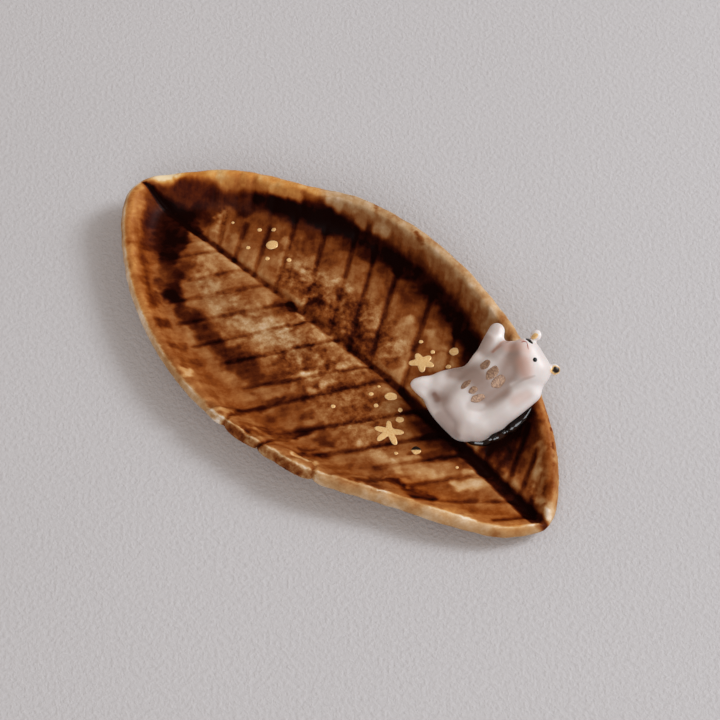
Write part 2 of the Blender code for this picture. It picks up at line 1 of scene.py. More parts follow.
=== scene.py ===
# %% [markdown]
# # A leaf dish with a resting bear
# This lesson dresses a small hand-built trinket dish. A slab of stoneware clay was pressed with a
# real leaf, cut out and bent up at its edge, then washed with brown iron oxide under a clear
# glaze. A little porcelain bear lies on its back against the far wall, held by a bead of dark
# glaze, and stars and dots of gold lustre were brushed on last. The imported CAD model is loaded
# first. It gives every size and place, so nothing has to be fitted later.

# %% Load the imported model
from math import pi, radians, tau

import bmesh
import bpy
import numpy as np
from mathutils import Matrix, Vector
from mathutils.bvhtree import BVHTree


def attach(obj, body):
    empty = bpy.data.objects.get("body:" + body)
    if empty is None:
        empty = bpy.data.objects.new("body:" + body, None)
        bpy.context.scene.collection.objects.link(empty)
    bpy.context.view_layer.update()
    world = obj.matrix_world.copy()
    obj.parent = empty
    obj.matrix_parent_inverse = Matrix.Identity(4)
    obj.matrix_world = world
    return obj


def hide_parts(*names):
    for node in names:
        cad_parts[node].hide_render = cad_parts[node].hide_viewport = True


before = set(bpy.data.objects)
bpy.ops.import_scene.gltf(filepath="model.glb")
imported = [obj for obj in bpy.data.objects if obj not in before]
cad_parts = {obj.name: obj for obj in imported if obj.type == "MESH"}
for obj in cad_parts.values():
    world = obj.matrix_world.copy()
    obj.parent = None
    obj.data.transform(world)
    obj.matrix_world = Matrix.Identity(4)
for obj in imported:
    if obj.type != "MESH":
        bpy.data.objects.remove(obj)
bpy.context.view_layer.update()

MM = 0.001
scene = bpy.context.scene
scene.view_settings.view_transform = "Standard"


def add_object(name, data):
    """A new object around a mesh, a lamp or a camera, linked to the scene."""
    made = bpy.data.objects.new(name, data)
    scene.collection.objects.link(made)
    return made


def object_from(bm, name):
    """Turns a bmesh into a mesh object, and frees the bmesh."""
    mesh = bpy.data.meshes.new(name)
    bm.to_mesh(mesh)
    bm.free()
    return add_object(name, mesh)


def aim(item, place, way):
    """Places an object with its -Z axis along a direction."""
    item.location = place
    item.rotation_mode = "QUATERNION"
    item.rotation_quaternion = way.to_track_quat("-Z", "Y")


# %% [markdown]
# ## The camera
# The photograph looks down at the dish from the side of the figure's feet, about 58 degrees above
# the table, with the leaf running from upper left to lower right. A long lens from 0.43 m away
# keeps the perspective as flat as it is there.

# %% Camera
CAMERA_PLACE = Vector((0.16436, -0.16218, 0.37051))
CAMERA_AIM = Vector((0.00538, 0.00180, 0.00500))
LENS = 102.1

camera_data = bpy.data.cameras.new("camera")
camera_data.lens = LENS
camera_data.clip_start = 0.01
camera = add_object("camera", camera_data)
aim(camera, CAMERA_PLACE, CAMERA_AIM - CAMERA_PLACE)
scene.camera = camera
print("camera to dish:", round((CAMERA_AIM - CAMERA_PLACE).length / MM), "mm")

# %% [markdown]
# ## Colours and nodes
# Colours are written as the eye reads them, in sRGB hex, and one function turns them to the
# linear values that shaders use. One small function sets and links a node's sockets, and one more
# adds a node, so each material below reads as a list of what it is made of.

# %% Helpers for colours and nodes
def linear(hex_colour):
    """Linear RGBA of an sRGB hex colour."""
    channels = [int(hex_colour[i:i + 2], 16) / 255 for i in (1, 3, 5)]
    return (*[c / 12.92 if c <= 0.04045 else ((c + 0.055) / 1.055) ** 2.4 for c in channels], 1.0)


def wire(tree, node, sockets):
    """Sets sockets, named or numbered. Each takes a value, an output, or a node for its first output."""
    for name, value in sockets.items():
        if isinstance(value, bpy.types.Node):
            value = value.outputs[0]
        if isinstance(value, bpy.types.NodeSocket):
            tree.links.new(value, node.inputs[name])
        else:
            node.inputs[name].default_value = value


def add_node(tree, kind, sockets=None, stops=(), **settings):
    """Adds a node with its settings, its sockets and the stops of its colour ramp."""
    made = tree.nodes.new("ShaderNode" + kind)
    for name, value in settings.items():
        setattr(made, name, value)
    wire(tree, made, sockets or {})
    for index, (place, colour) in enumerate(stops):
        elements = made.color_ramp.elements
        element = elements[index] if index < 2 else elements.new(place)
        element.position = place
        element.color = linear(colour)
    return made


def new_material(name):
    """A material with an empty Principled shader, and its node tree and shader."""
    made = bpy.data.materials.new(name)
    made.use_nodes = True
    tree = made.node_tree
    return made, tree, tree.nodes["Principled BSDF"]


# %% [markdown]
# ## Light
# A large window with one brighter pane stands to the right of the dish, so the soft shadow falls
# to the left and the far wall shades the floor a little. A white screen in front lifts the near
# sides, and a dim, even room fills the shadows. The room is darker still where a glaze mirrors it,
# so that black glaze stays black between its glints. A lamp's power for a surface that renders as
# its colour is written is pi squared times the distance squared, shared between lamps and room.

# %% Window light and room light
WINDOW_WAY = Vector((0.40, 0.70, 0.58)).normalized()
LAMP_DISTANCE = 1.6
WINDOW_SIDE = 1.0
WINDOW_SHARE = 0.20
PANE_SIDE = 0.42
PANE_SHARE = 0.28
SCREEN_WAY = Vector((0.45, -0.62, 0.64)).normalized()
SCREEN_SIDE = 0.9
SCREEN_SHARE = 0.20
WINDOW_TINT = (0.89, 0.95, 1.0)
ROOM_LIGHT = 0.37
ROOM_MIRRORED = 0.10
ROOM_TINT = (1.18, 1.0, 0.87, 1.0)


def add_window(name, way, side, share):
    """A square lamp in the given direction that gives its share of a plain level on the table."""
    data = bpy.data.lights.new(name, "AREA")
    data.shape = "SQUARE"
    data.size = side
    data.energy = share * pi ** 2 * LAMP_DISTANCE ** 2 / way.z
    data.color = WINDOW_TINT
    aim(add_object(name, data), way * LAMP_DISTANCE, -way)
    print(name, "power:", round(data.energy, 2), "W")


add_window("window", WINDOW_WAY, WINDOW_SIDE, WINDOW_SHARE)
add_window("bright_pane", WINDOW_WAY, PANE_SIDE, PANE_SHARE)
add_window("white_screen", SCREEN_WAY, SCREEN_SIDE, SCREEN_SHARE)

room = bpy.data.worlds.new("room")
room.use_nodes = True
tree = room.node_tree
mirrored = add_node(tree, "LightPath").outputs["Is Glossy Ray"]
room_level = add_node(tree, "MapRange", {"Value": mirrored, "To Min": ROOM_LIGHT, "To Max": ROOM_MIRRORED})
wire(tree, tree.nodes["Background"], {"Color": ROOM_TINT, "Strength": room_level})
scene.world = room

# %% [markdown]
# ## The table
# The dish stands on a sheet of heavy drawing paper. Its tooth is a fine grain of just under a
# millimetre, which the low window light picks out. The paper is pale grey by its own colour, so
# that the light on the dish stays at a plain level.

# %% Paper on the table
PAPER_SIDE = 4.0
PAPER_GRAIN = 0.9 * MM
PAPER_TOOTH = 0.4 * MM
CLOUDS_IN_A_METRE = 9.0
CLOUD_SHARE = 0.35

paper, tree, shader = new_material("grey drawing paper")
place = add_node(tree, "TexCoord").outputs["Object"]
tooth = add_node(tree, "TexNoise", {"Vector": place, "Scale": 1 / PAPER_GRAIN, "Detail": 3.0,
                                    "Roughness": 0.6})
cloud = add_node(tree, "TexNoise", {"Vector": place, "Scale": CLOUDS_IN_A_METRE, "Detail": 2.0})
blend = add_node(tree, "Math", {0: cloud, 1: CLOUD_SHARE, 2: tooth}, operation="MULTIPLY_ADD")
shade = add_node(tree, "ValToRGB", {"Fac": blend}, [(0.35, "#BBB9BB"), (0.95, "#C7C5C7")])
bump = add_node(tree, "Bump", {"Height": tooth, "Strength": 0.7, "Distance": PAPER_TOOTH})
wire(tree, shader, {"Base Color": shade, "Normal": bump, "Roughness": 0.9, "Specular IOR Level": 0.2})

bm = bmesh.new()
bmesh.ops.create_grid(bm, x_segments=4, y_segments=4, size=PAPER_SIDE / 2)
table = object_from(bm, "paper_sheet")
table.data.materials.append(paper)
print("paper:", PAPER_SIDE, "m square")

# %% [markdown]
# ## The dish: a smooth body
# The CAD dish has the right outline, wall and lip, but flat facets. A copy of it is merged, since
# a CAD node is loose triangles, and is remeshed to small even cells. Smoothing then turns the
# facets to the soft clay of a hand-bent slab. The fine print of the leaf goes on afterwards.

# %% Remesh the dish
DISH_CELL = 0.43 * MM
DISH_SMOOTHING = 14
MERGE_DISTANCE = 0.001 * MM


def merged_copy(node, name):
    """A copy of a CAD node with its loose triangles joined, as a new object."""
    bm = bmesh.new()
    bm.from_mesh(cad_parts[node].data)
    bmesh.ops.remove_doubles(bm, verts=bm.verts, dist=MERGE_DISTANCE)
    return object_from(bm, name)


def even_cells(item, cell, smoothing):
    """Remeshes an object to even cells, smooths it and shades it smooth."""
    remesh = item.modifiers.new("cells", "REMESH")
    remesh.mode = "VOXEL"
    remesh.voxel_size = cell
    smooth = item.modifiers.new("soften", "SMOOTH")
    smooth.factor = 0.5
    smooth.iterations = smoothing
    bpy.context.view_layer.update()
    evaluated = item.evaluated_get(bpy.context.evaluated_depsgraph_get())
    mesh = bpy.data.meshes.new_from_object(evaluated)
    item.modifiers.clear()
    item.data = mesh
    mesh.shade_smooth()
    return mesh


dish = merged_copy("leaf_dish", "dish_body")
dish_mesh = even_cells(dish, DISH_CELL, DISH_SMOOTHING)
print("dish faces:", len(dish_mesh.polygons))

# %% Read the dish as arrays
# How long the waves of a wandering value are, as shares of its size, and what evens out their sum
WAVE_SPAN = (1.2, 3.2)
WAVE_LEVEL = 1.3


def places_of(mesh):
    """The vertices of a mesh, one row each."""
    points = np.empty(len(mesh.vertices) * 3)
    mesh.vertices.foreach_get("co", points)
    return points.reshape(-1, 3)


def normals_of(mesh):
    """The normals at the vertices of a mesh, one row each."""
    normals = np.empty(len(mesh.vertices) * 3)
    mesh.vertex_normals.foreach_get("vector", normals)
    return normals.reshape(-1, 3)


def blurred(values, mesh, rounds):
    """Values at the vertices, averaged with their neighbours a number of times."""
    edges = np.empty(len(mesh.edges) * 2, int)
    mesh.edges.foreach_get("vertices", edges)
    a, b = edges.reshape(-1, 2).T
    count = np.bincount(a, minlength=len(values)) + np.bincount(b, minlength=len(values))
    count = count.reshape(-1, *[1] * (values.ndim - 1))
    for _ in range(rounds):
        total = np.zeros_like(values)
        np.add.at(total, a, values[b])
        np.add.at(total, b, values[a])
        values = (values + total / count) / 2
    return values


def smoothstep(low, high, value):
    """0 up to low, 1 from high on, and an even curve between. Low may be the larger one."""
    t = np.clip((value - low) / (high - low), 0, 1)
    return t * t * (3 - 2 * t)


def ridge(away, half):
    """A soft ridge along a line: 1 on it, and falling off round its half width."""
    return np.exp(-(away / half) ** 2)


def waver(x, y, size, seed, waves=14):
    """A smooth wandering value between -1 and 1 with features of about the given size."""
    rng = np.random.default_rng(seed)
    total = np.zeros(len(x))
    for _ in range(waves):
        turn = rng.uniform(0, tau)
        pitch = tau / (size * rng.uniform(*WAVE_SPAN))
        total += np.sin((x * np.cos(turn) + y * np.sin(turn)) * pitch + rng.uniform(0, tau))
    return total / waves ** 0.5 / WAVE_LEVEL


points = places_of(dish_mesh) / MM
normals = normals_of(dish_mesh)
upward = normals[:, 2]

# %% [markdown]
# ## The dish: the print of the leaf
# A leaf pressed into clay leaves a groove for its midrib and one for each side vein, and the clay
# between two veins stays slightly puffed. The veins run towards the tip at 57 degrees. Every
# groove is worked out from how far a vertex lies from the vein's line, so grooves stay crisp on
# the even cells. The same distances paint the veins later.

# %% Vein lines in millimetres: a vein has its root on X and the place of its end
MIDRIB = ((-61.5, 0.2), (-46, 1.3), (-33, 2.1), (-20, 2.7), (-3, 3.2), (10, 3.4), (18, 3.1), (28, 2.2),
          (42, 1.6), (54, 0.4), (60, -0.6))
FAR_VEINS = ((-37.8, -43, 8.5), (-33.2, -38, 10.5), (-27.4, -33.6, 13.5), (-20.8, -30.5, 18.5),
             (-12.5, -24.5, 22), (-5, -18, 24.5), (0.8, -12.5, 25), (6.5, -5.5, 25), (16, 4.5, 25),
             (25, 13.5, 24), (34.5, 24, 22), (41, 34, 16), (47.5, 42, 14), (51, 47, 11), (54, 51, 8))
NEAR_VEINS = ((-37, -43.5, -7), (-29.5, -36.5, -8.5), (-23.5, -35, -15.5), (-16, -29.5, -18),
              (-9.5, -23, -19.5), (-2.5, -15, -17.5), (7.2, -7.8, -19.5), (12, -4.5, -24.5),
              (22.5, 1.5, -27.5), (30, 12, -24), (36.5, 25, -14), (42.5, 32.5, -13), (51.2, 36, -14.6),
              (56, 51, -6.5))

# How deep a vein is pressed, as a share at its root and what it gains on the way to its end
FAR_PRESS_SHARES = (0.75, 0.25)
NEAR_PRESS_SHARES = (1.0, -0.2)
FAINT_BEFORE = -12
FAINT_SHARE = 0.65


def distance_to(path, x, y):
    """Distance of each point to a plan line, and how far along it the nearest place is, 0 to 1."""
    path = np.array(path, float)
    lengths = np.hypot(*np.diff(path[:, :2], axis=0).T)
    walked = np.concatenate([[0], np.cumsum(lengths)])
    best = np.full(len(x), np.inf)
    share = np.zeros(len(x))
    for index, length in enumerate(lengths):
        start, way = path[index, :2], (path[index + 1, :2] - path[index, :2]) / length
        along = np.clip((x - start[0]) * way[0] + (y - start[1]) * way[1], 0, length)
        away = np.hypot(x - start[0] - along * way[0], y - start[1] - along * way[1])
        nearer = away < best
        best = np.where(nearer, away, best)
        share = np.where(nearer, (walked[index] + along) / walked[-1], share)
    return best, share


def midrib_height(x):
    """Where the midrib runs on Y at a place on X."""
    return np.interp(x, *np.array(MIDRIB, float).T)


x, y, z = points.T
near_side = y < midrib_height(x)
midrib_away, midrib_share = distance_to(MIDRIB, x, y)
vein_away = np.full(len(x), np.inf)
vein_strength = np.zeros(len(x))
for veins, (at_root, gain) in ((FAR_VEINS, FAR_PRESS_SHARES), (NEAR_VEINS, NEAR_PRESS_SHARES)):
    for root, end_x, end_y in veins:
        away, share = distance_to(((root, float(midrib_height(root))), (end_x, end_y)), x, y)
        nearer = away < vein_away
        vein_away = np.where(nearer, away, vein_away)
        strength = at_root + gain * share
        if veins is NEAR_VEINS and root < FAINT_BEFORE:
            strength *= FAINT_SHARE
        vein_strength = np.where(nearer, strength, vein_strength)

# %% Distance from the rim
RIM_STEPS = 720

bins = ((np.arctan2(y, x) + np.pi) / tau * RIM_STEPS).astype(int) % RIM_STEPS
reach = np.zeros(RIM_STEPS)
np.maximum.at(reach, bins, np.hypot(x, y))
reach = np.median([np.roll(reach, shift) for shift in (-2, -1, 0, 1, 2)], axis=0)
turns = (np.arange(RIM_STEPS) + 0.5) / RIM_STEPS * tau - np.pi
outline = np.stack([reach * np.cos(turns), reach * np.sin(turns)], -1)
rim_away, _ = distance_to(np.concatenate([outline, outline[:1]]), x, y)
print("outline reaches", outline.min(0).round(1), outline.max(0).round(1))

# %% Press the leaf
VEIN_HALF = 0.60
VEIN_DEEP = 0.14
MIDRIB_HALVES = (0.50, 1.25)
MIDRIB_DEPTHS = (0.12, 0.60)
PUFF = 0.07
PUFF_FROM_VEIN = (0.5, 2.6)
PUFF_FROM_MIDRIB = (1.0, 3.0)
FLOOR_LIFT = 0.22
FLOOR_SLOPE = (0.10, 0.45)
FLOOR_FROM_RIM = (1.4, 3.0)
CHANNEL_END = (2.2, 0.8)
CHANNEL_END_SHARE = 0.7
LIP_SLOPE = (0.0, 0.3)

inside = smoothstep(*FLOOR_SLOPE, upward) * smoothstep(*FLOOR_FROM_RIM, rim_away)
groove = VEIN_DEEP * vein_strength * ridge(vein_away, VEIN_HALF)
puff = PUFF * smoothstep(*PUFF_FROM_VEIN, vein_away) * smoothstep(*PUFF_FROM_MIDRIB, midrib_away)
channel_half = MIDRIB_HALVES[0] + MIDRIB_HALVES[1] * midrib_share
channel_deep = MIDRIB_DEPTHS[0] + MIDRIB_DEPTHS[1] * midrib_share
channel = channel_deep * np.exp(-(midrib_away / channel_half) ** 4)
channel *= 1 - CHANNEL_END_SHARE * smoothstep(*CHANNEL_END, rim_away) * (x > 0)
open_channel = np.maximum(inside, smoothstep(*LIP_SLOPE, upward)) * channel
points[:, 2] += inside * (FLOOR_LIFT + puff - groove) - open_channel

# %% Work the lip
# Each notch has a share of the full depth, and a line from the rim inwards
NOTCHES = ((0.5, ((-3.3, -31.5), (-3.8, -25.8))),
           (1, ((4.8, -30.8), (6.7, -25))),
           (0.6, ((19.4, -27.4), (16.6, -22.6))))
CRACKS = (((-2.4, -28.3), (2, -27.5), (5.4, -27.4)),
          ((6.4, -27.8), (8.3, -24.9), (10.9, -23.4), (14.5, -22.8), (16.9, -23.2)))
NOTCH_HALF = 0.34
NOTCH_DEEP = 0.55
PINCH_HALF = 1.5
PINCH_DEEP = 0.35
PINCH_FROM_RIM = (1.9, 0.7)
CRACK_HALF = 0.30
CRACK_DEEP = 0.28
CRACK_SLOPE = (0.1, 0.4)
# How far in from the rim the crest of the near lip runs, along X
CREST_IN = ((-60, 0.8), (-25, 0.8), (-6, 0.9), (-2, 1.4), (16, 1.5), (22, 1.9), (45, 1.9), (57, 1.2))
CREST_IN_FAR = 1.2
CREST_HALF = 0.45
CREST_LIFT = 0.08
CREST_SLOPE = (0.2, 0.6)
LUMP_SIZE = 2.2
LUMP_HIGH = 0.08
LIP_FROM_RIM = (4.4, 2.6)

near_rim = smoothstep(*LIP_FROM_RIM, rim_away)
crest_in = np.where(near_side, np.interp(x, *np.array(CREST_IN, float).T), CREST_IN_FAR)
crest = ridge(rim_away - crest_in, CREST_HALF) * smoothstep(*CREST_SLOPE, upward)
lift = CREST_LIFT * crest + LUMP_HIGH * waver(x, y, LUMP_SIZE, 21) * near_rim
for share, notch in NOTCHES:
    away, _ = distance_to(notch, x, y)
    lift -= share * NOTCH_DEEP * ridge(away, NOTCH_HALF) * near_rim
    lift -= PINCH_DEEP * ridge(away, PINCH_HALF) * smoothstep(*PINCH_FROM_RIM, rim_away)
for crack in CRACKS:
    away, _ = distance_to(crack, x, y)
    lift -= CRACK_DEEP * ridge(away, CRACK_HALF) * smoothstep(*CRACK_SLOPE, upward)
points += normals * lift[:, None]
points[:, 2] = np.maximum(points[:, 2], 0)
dish_mesh.vertices.foreach_set("co", (points * MM).ravel())
dish_mesh.update()
normals = normals_of(dish_mesh)
upward = normals[:, 2]
x, y, z = points.T
near_side = y < midrib_height(x)
print("deepest groove:", round(float((inside * groove).max()), 2), "mm")

# %% [markdown]
# ## The dish: oxide and glaze
# Brown iron oxide was brushed on and wiped back, so it stays dark in the midrib, round the foot
# of the wall and in loose blotches, and the clay shows cream where it was wiped. A few pale
# strokes on the near lip are painted highlights, and the pale crest line and a paler stretch of
# the midrib are partly painted highlight and sheen. This is painted the way a potter does it:
# strokes over strokes, each with its place, its half width and its depth of brown, from 0 for
# bare cream to 1 for black. The result is stored on the vertices, and the material adds the fine
# mottling.

# %% Brush strokes: depth of brown, cover, then places and half widths in millimetres
WASH = 0.42
STROKES = (
    # far wall: thin tan wash with paler patches
    (0.29, 1, (-58, 6, 4), (-50, 14.5, 4), (-40, 20.5, 4), (-30, 25.5, 4), (-20, 29.5, 4.5), (-10, 32, 5),
              (0, 32.5, 5), (10, 31, 5), (20, 28, 5), (30, 23, 4)),
    (0.31, 0.8, (-55, 6.5, 1.8), (-50, 11.5, 2), (-47, 13, 1.6)),
    (0.34, 0.8, (-45, 15.5, 1.6), (-42, 17.5, 1.6), (-39, 19, 1.5)),
    (0.34, 0.6, (-37.2, 18, 0.7), (-38.2, 20.5, 0.7)),
    (0.24, 0.8, (-33.5, 21.8, 1.4), (-32, 23, 1.3)),
    (0.33, 0.6, (-30.5, 22, 0.7), (-31.3, 24, 0.6)),
    (0.23, 0.7, (-29, 23.6, 1.2), (-28, 24.5, 1.2)),
    (0.29, 0.9, (-26, 25.8, 1.8), (-21.5, 27.4, 1.8), (-16, 29, 1.6)),
    (0.36, 0.8, (-12, 30.2, 1.8), (-6, 30.8, 1.6), (2, 31.1, 1.8), (7, 30.6, 1.8)),
    (0.5, 0.7, (-12, 28.4, 1), (0, 28.9, 1), (10, 28.2, 1), (18, 26.3, 1)),
    (0.66, 0.8, (-17.8, 30.3, 0.5), (-16.6, 29.6, 0.5)),
    (0.71, 0.8, (-6, 31, 0.6), (-4.6, 30.6, 0.7), (-3.3, 30.2, 0.4)),
    (0.46, 0.7, (22, 27.5, 1.2), (27, 25.5, 1.2)),
    # floor of the far side
    (0.56, 1, (-44, 6, 4), (-34, 10, 6), (-20, 13, 9), (0, 14, 9), (14, 14, 8), (24, 12, 8)),
    (0.52, 0.85, (-42, 4.4, 1.4), (-39.5, 5, 1.5)),
    (0.36, 0.7, (-36.2, 6, 1.2), (-34.5, 6, 1.2)),
    (0.46, 0.8, (-31.5, 5.8, 1.5), (-26, 6, 1.8), (-25, 9, 1.6)),
    (0.62, 0.6, (-33, 12.5, 2.2), (-27, 15, 2.2)),
    (0.56, 0.8, (-22, 14, 1.6), (-18.5, 17.5, 1.6)),
    (0.49, 0.85, (-17, 12, 1.7), (-12.8, 15.5, 2), (-14.5, 18, 1.6)),
    (0.47, 0.8, (-20, 6.4, 1.6), (-17, 8, 1.6), (-13, 7.4, 2.2)),
    (0.43, 0.8, (-9, 12.6, 1.8), (-6, 17, 1.8), (-8, 18, 1.6)),
    (0.63, 0.75, (-8.5, 9, 2), (-3, 10, 2), (-5, 6.5, 1.8)),
    (0.54, 0.85, (-1.8, 17.6, 1.5), (0.5, 14, 1.3)),
    (0.62, 0.8, (1.8, 7.8, 1.7), (4.3, 6.2, 1.6), (3.2, 10, 1.2)),
    (0.37, 0.85, (6.5, 15.8, 2), (9, 11, 1.8), (11.5, 7, 1.8)),
    (0.56, 0.7, (3.5, 20, 1.8), (10, 19.5, 2)),
    (0.31, 0.8, (16.5, 12.5, 1.6), (18.5, 16, 1.6)),
    # floor of the near side
    (0.5, 1, (-40, -3, 4), (-25, -8, 8), (-5, -10, 10), (15, -9, 10), (35, -6, 7), (48, -4, 5)),
    (0.3, 0.9, (-42.5, 0.2, 1), (-36, 0.7, 1.2), (-31, 0.9, 1)),
    (0.28, 0.9, (-38.5, -2.2, 1.6), (-35.5, -3, 2)),
    (0.61, 0.8, (-40.5, -4.6, 1.6), (-39, -7.5, 1.8)),
    (0.38, 0.9, (-34.5, -6.2, 1.6), (-31, -5, 1.3)),
    (0.31, 0.9, (-30, -7.8, 2), (-26.5, -9.2, 1.8)),
    (0.44, 0.8, (-26, -1.2, 1.5), (-28.5, -3, 1.4)),
    (0.24, 0.95, (-20.5, -9, 2.2), (-17, -6.6, 2.4), (-13.5, -3.2, 1.4)),
    (0.42, 0.8, (-23.2, -3.4, 0.8), (-23.8, -7, 1)),
    (0.6, 0.7, (-20.5, -3, 1.4), (-17, -1, 1.2)),
    (0.43, 0.8, (-10.5, -5.2, 1.6), (-7.5, -1.4, 1.7), (-3, -1.8, 1.6)),
    (0.69, 0.75, (-6.3, -7.8, 1.6), (-7, -11.5, 1.8), (-3.5, -11, 1.7)),
    (0.2, 0.8, (0.2, -6.6, 1.6), (2.8, -9, 1.8), (3, -1.8, 1.4)),
    (0.51, 0.8, (8.6, -1.8, 1.8), (13.5, -2, 1.6)),
    (0.5, 0.85, (5, -13.2, 1.3), (6.4, -15, 1.1)),
    (0.49, 0.7, (12, -5, 1.6), (15, -12, 2.4), (8.5, -8.5, 1.8)),
    (0.23, 0.8, (24, -11.8, 1.7), (26.5, -11.8, 1.5)),
    (0.27, 0.9, (29, -8, 1.9), (34, -7.2, 1.8)),
    (0.37, 0.8, (31.5, -3.6, 1.4), (36.5, -4.4, 1.5)),
    (0.13, 0.85, (42.2, -2.6, 1.4), (40, -5.5, 1.1)),
    (0.42, 0.8, (50.5, -3, 1.2), (47.5, -4.6, 1.2)),
    # near wall: amber
    (0.47, 1, (-58, -3, 3), (-50, -12, 3), (-40, -20, 3.2), (-30, -24.8, 3.4)),
    (0.5, 1, (-30, -23.8, 3.6), (-20, -25, 4.4), (-8, -25, 4.6), (5, -24, 4.8), (15, -21, 5),
             (25, -17, 3.8), (33, -14, 2.6)),
    (0.51, 1, (34, -14.5, 2.4), (45, -9.5, 2.8), (54, -4, 2.5)),
    (0.25, 0.8, (-58, -2, 1.8), (-56, -4, 1.8)),
    (0.83, 0.8, (-30.8, -19.6, 1.2), (-31.2, -21.8, 1.2)),
    (0.68, 0.7, (-24, -20.5, 0.8), (-25, -24, 0.8)),
    (0.53, 0.7, (-19, -20, 0.9), (-20.5, -24, 0.9)),
    (0.55, 0.7, (-12.5, -21, 1), (-14.5, -25, 1)),
    (0.41, 0.8, (-17, -20.4, 1.1), (-11, -20, 1.2)),
    # a painted highlight on the near wall
    (0.14, 0.85, (-19, -26, 1.2), (-17, -26.8, 1)),
    # dark oxide near the tip
    (0.75, 0.85, (-55.5, -0.5, 2.6), (-51, -4.5, 3.6), (-46, -8, 3.2)),
    (0.74, 0.9, (-56, 2, 1.6), (-52, 4.5, 3.2), (-48, 6.5, 3.2), (-44.5, 7.5, 1.8)),
    (0.82, 0.85, (-54, 4.8, 1.4), (-49, 8.6, 1.6), (-44, 11.2, 1.5), (-40, 13.4, 1.5)),
    (0.88, 0.9, (-47.5, 4.8, 1.8), (-45.2, 5.4, 1.9)),
    (0.81, 0.85, (-54, -2.4, 1.4), (-51, -5, 2.6), (-48, -8, 2.8), (-41.5, -9.8, 2)),
    (0.97, 1, (-59, 0.5, 0.35), (-54, 1.3, 1), (-49, 1.7, 2.1), (-45, 1.8, 1.1)),
    (0.94, 1, (-50, -0.6, 2.4), (-47, -3.6, 3), (-44.3, -7, 2.2)),
    (0.75, 0.8, (-54, -5, 1.1), (-50, -9.2, 1.3), (-46.5, -12.6, 1.4), (-43.5, -15, 1.4),
                (-39.5, -17.8, 1.4), (-36, -19.4, 1)),
    (0.5, 0.85, (-46.8, -10.2, 1.3), (-43.5, -12.4, 1.3), (-40.5, -14.8, 1.2)),
    (0.42, 0.85, (-38, -16, 1.1), (-33, -17.2, 1.4), (-29.5, -18.4, 1.3), (-24, -19.2, 1), (-16, -19.6, 1)),
    (0.96, 1, (-39.3, -10.5, 1.6), (-37.6, -12.2, 2), (-35.7, -14, 1.9)),
    (0.72, 0.8, (-41.5, -10, 1.8), (-39, -11.2, 1.8)),
    (0.42, 0.8, (-58, -2.6, 1.1), (-52, -9.6, 1.2), (-46, -14.8, 1.2), (-38, -20.2, 1.1)),
    (0.76, 0.8, (-54.8, -2.6, 0.9), (-51.8, -6, 1.2), (-48.8, -8.9, 1)),
    # blotches at the foot of the near wall
    (0.84, 0.9, (-33, -14.6, 1.4), (-28.4, -14.9, 2), (-24, -15.2, 1.7), (-20.9, -16, 1.9),
                (-17, -16, 1.8)),
    (0.8, 0.9, (-15, -14.6, 2.6), (-12.5, -14.9, 2.6)),
    (0.86, 0.7, (-28.6, -14.9, 1), (-27.6, -15.3, 1)),
    (0.76, 0.7, (-10.5, -16.4, 1.6), (-8.5, -15, 1.5)),
    (0.83, 0.8, (12.2, -16.6, 1.6), (14.5, -16.8, 1.4)),
    (0.39, 0.7, (16.5, -15.2, 1.5), (18, -17.8, 1.4)),
    (0.58, 0.8, (23.5, -15.4, 1.2), (25, -14.2, 1)),
    (0.83, 0.8, (28.4, -15.6, 1.4), (27, -17.4, 0.9), (30.8, -13, 0.8)),
    (0.66, 0.7, (1.8, -16.5, 1.6), (1.6, -20.5, 1.6)),
    (0.72, 0.85, (-0.2, -14.9, 0.4), (-0.9, -18.4, 0.85), (-2.8, -21.8, 0.7), (-3.8, -25, 0.6),
                 (-3.7, -29.1, 0.35)),
    (0.54, 0.8, (-2.6, -22, 0.5), (-5.7, -25, 0.45), (-7.8, -27.6, 0.5)),
    (0.67, 0.9, (12.3, -12.6, 0.4), (10, -15.1, 0.7), (8.2, -18, 0.95), (7.2, -20.8, 0.85),
                (6.6, -24, 0.5), (5.8, -28.1, 0.4)),
    (0.67, 0.8, (5.8, -20.4, 0.6), (2.5, -23.7, 0.5), (0.2, -26, 0.45), (-1.3, -27.8, 0.35)),
    (0.86, 0.85, (11.8, -21.6, 0.9), (14.8, -19.4, 1.1)),
    (0.47, 0.85, (17.7, -21.5, 0.8), (21.4, -19.2, 0.9)),
    (0.29, 0.8, (-6.5, -27.5, 0.6), (-4.8, -26.6, 0.6)),
    # a pale panel, partly a painted highlight
    (0.3, 0.8, (1.5, -25.6, 0.6), (4.6, -24.8, 0.8)),
    (0.49, 0.9, (6.4, -27.8, 0.35), (8.3, -24.9, 0.3), (10.9, -23.4, 0.3), (14.5, -22.8, 0.35),
                (16.9, -23.2, 0.4), (22, -19.7, 0.4)),
    (0.42, 0.9, (-2.4, -28.3, 0.25), (2, -27.5, 0.25), (5.4, -27.4, 0.25)),
    # a painted highlight on the near lip
    (0.08, 0.8, (11.4, -24.3, 0.5), (14.9, -23.5, 0.55)),
    (0.51, 0.7, (19, -12.5, 0.7), (15, -19, 0.8), (13, -21.4, 0.6)),
    (0.37, 0.7, (20.5, -17, 0.6), (17.5, -21, 0.7)),
    # streaks by the stem
    (0.65, 0.85, (35, -0.6, 0.9), (31, -4.2, 0.8), (28, -7, 0.5)),
    (0.35, 0.75, (40.5, -1, 0.6), (35.5, -6.8, 0.6)),
    (0.4, 0.85, (47.8, -2.8, 0.5), (44, -7.2, 0.5), (40.3, -10.2, 0.9)),
    (0.79, 0.9, (38.6, -11.4, 1), (35.5, -13.2, 1.3), (31.5, -13.6, 1)),
    (0.4, 0.8, (53.6, -2.8, 0.6), (49.5, -7, 0.7), (45, -10.4, 0.7)),
    (0.36, 0.8, (43.5, -9.8, 1.3), (41, -11.8, 1.2)),
    (0.67, 1, (40, 14, 5), (47, 9, 5), (54, 4, 3)),
    (0.52, 0.8, (46, 10, 1.2), (48.6, 6, 1.1)),
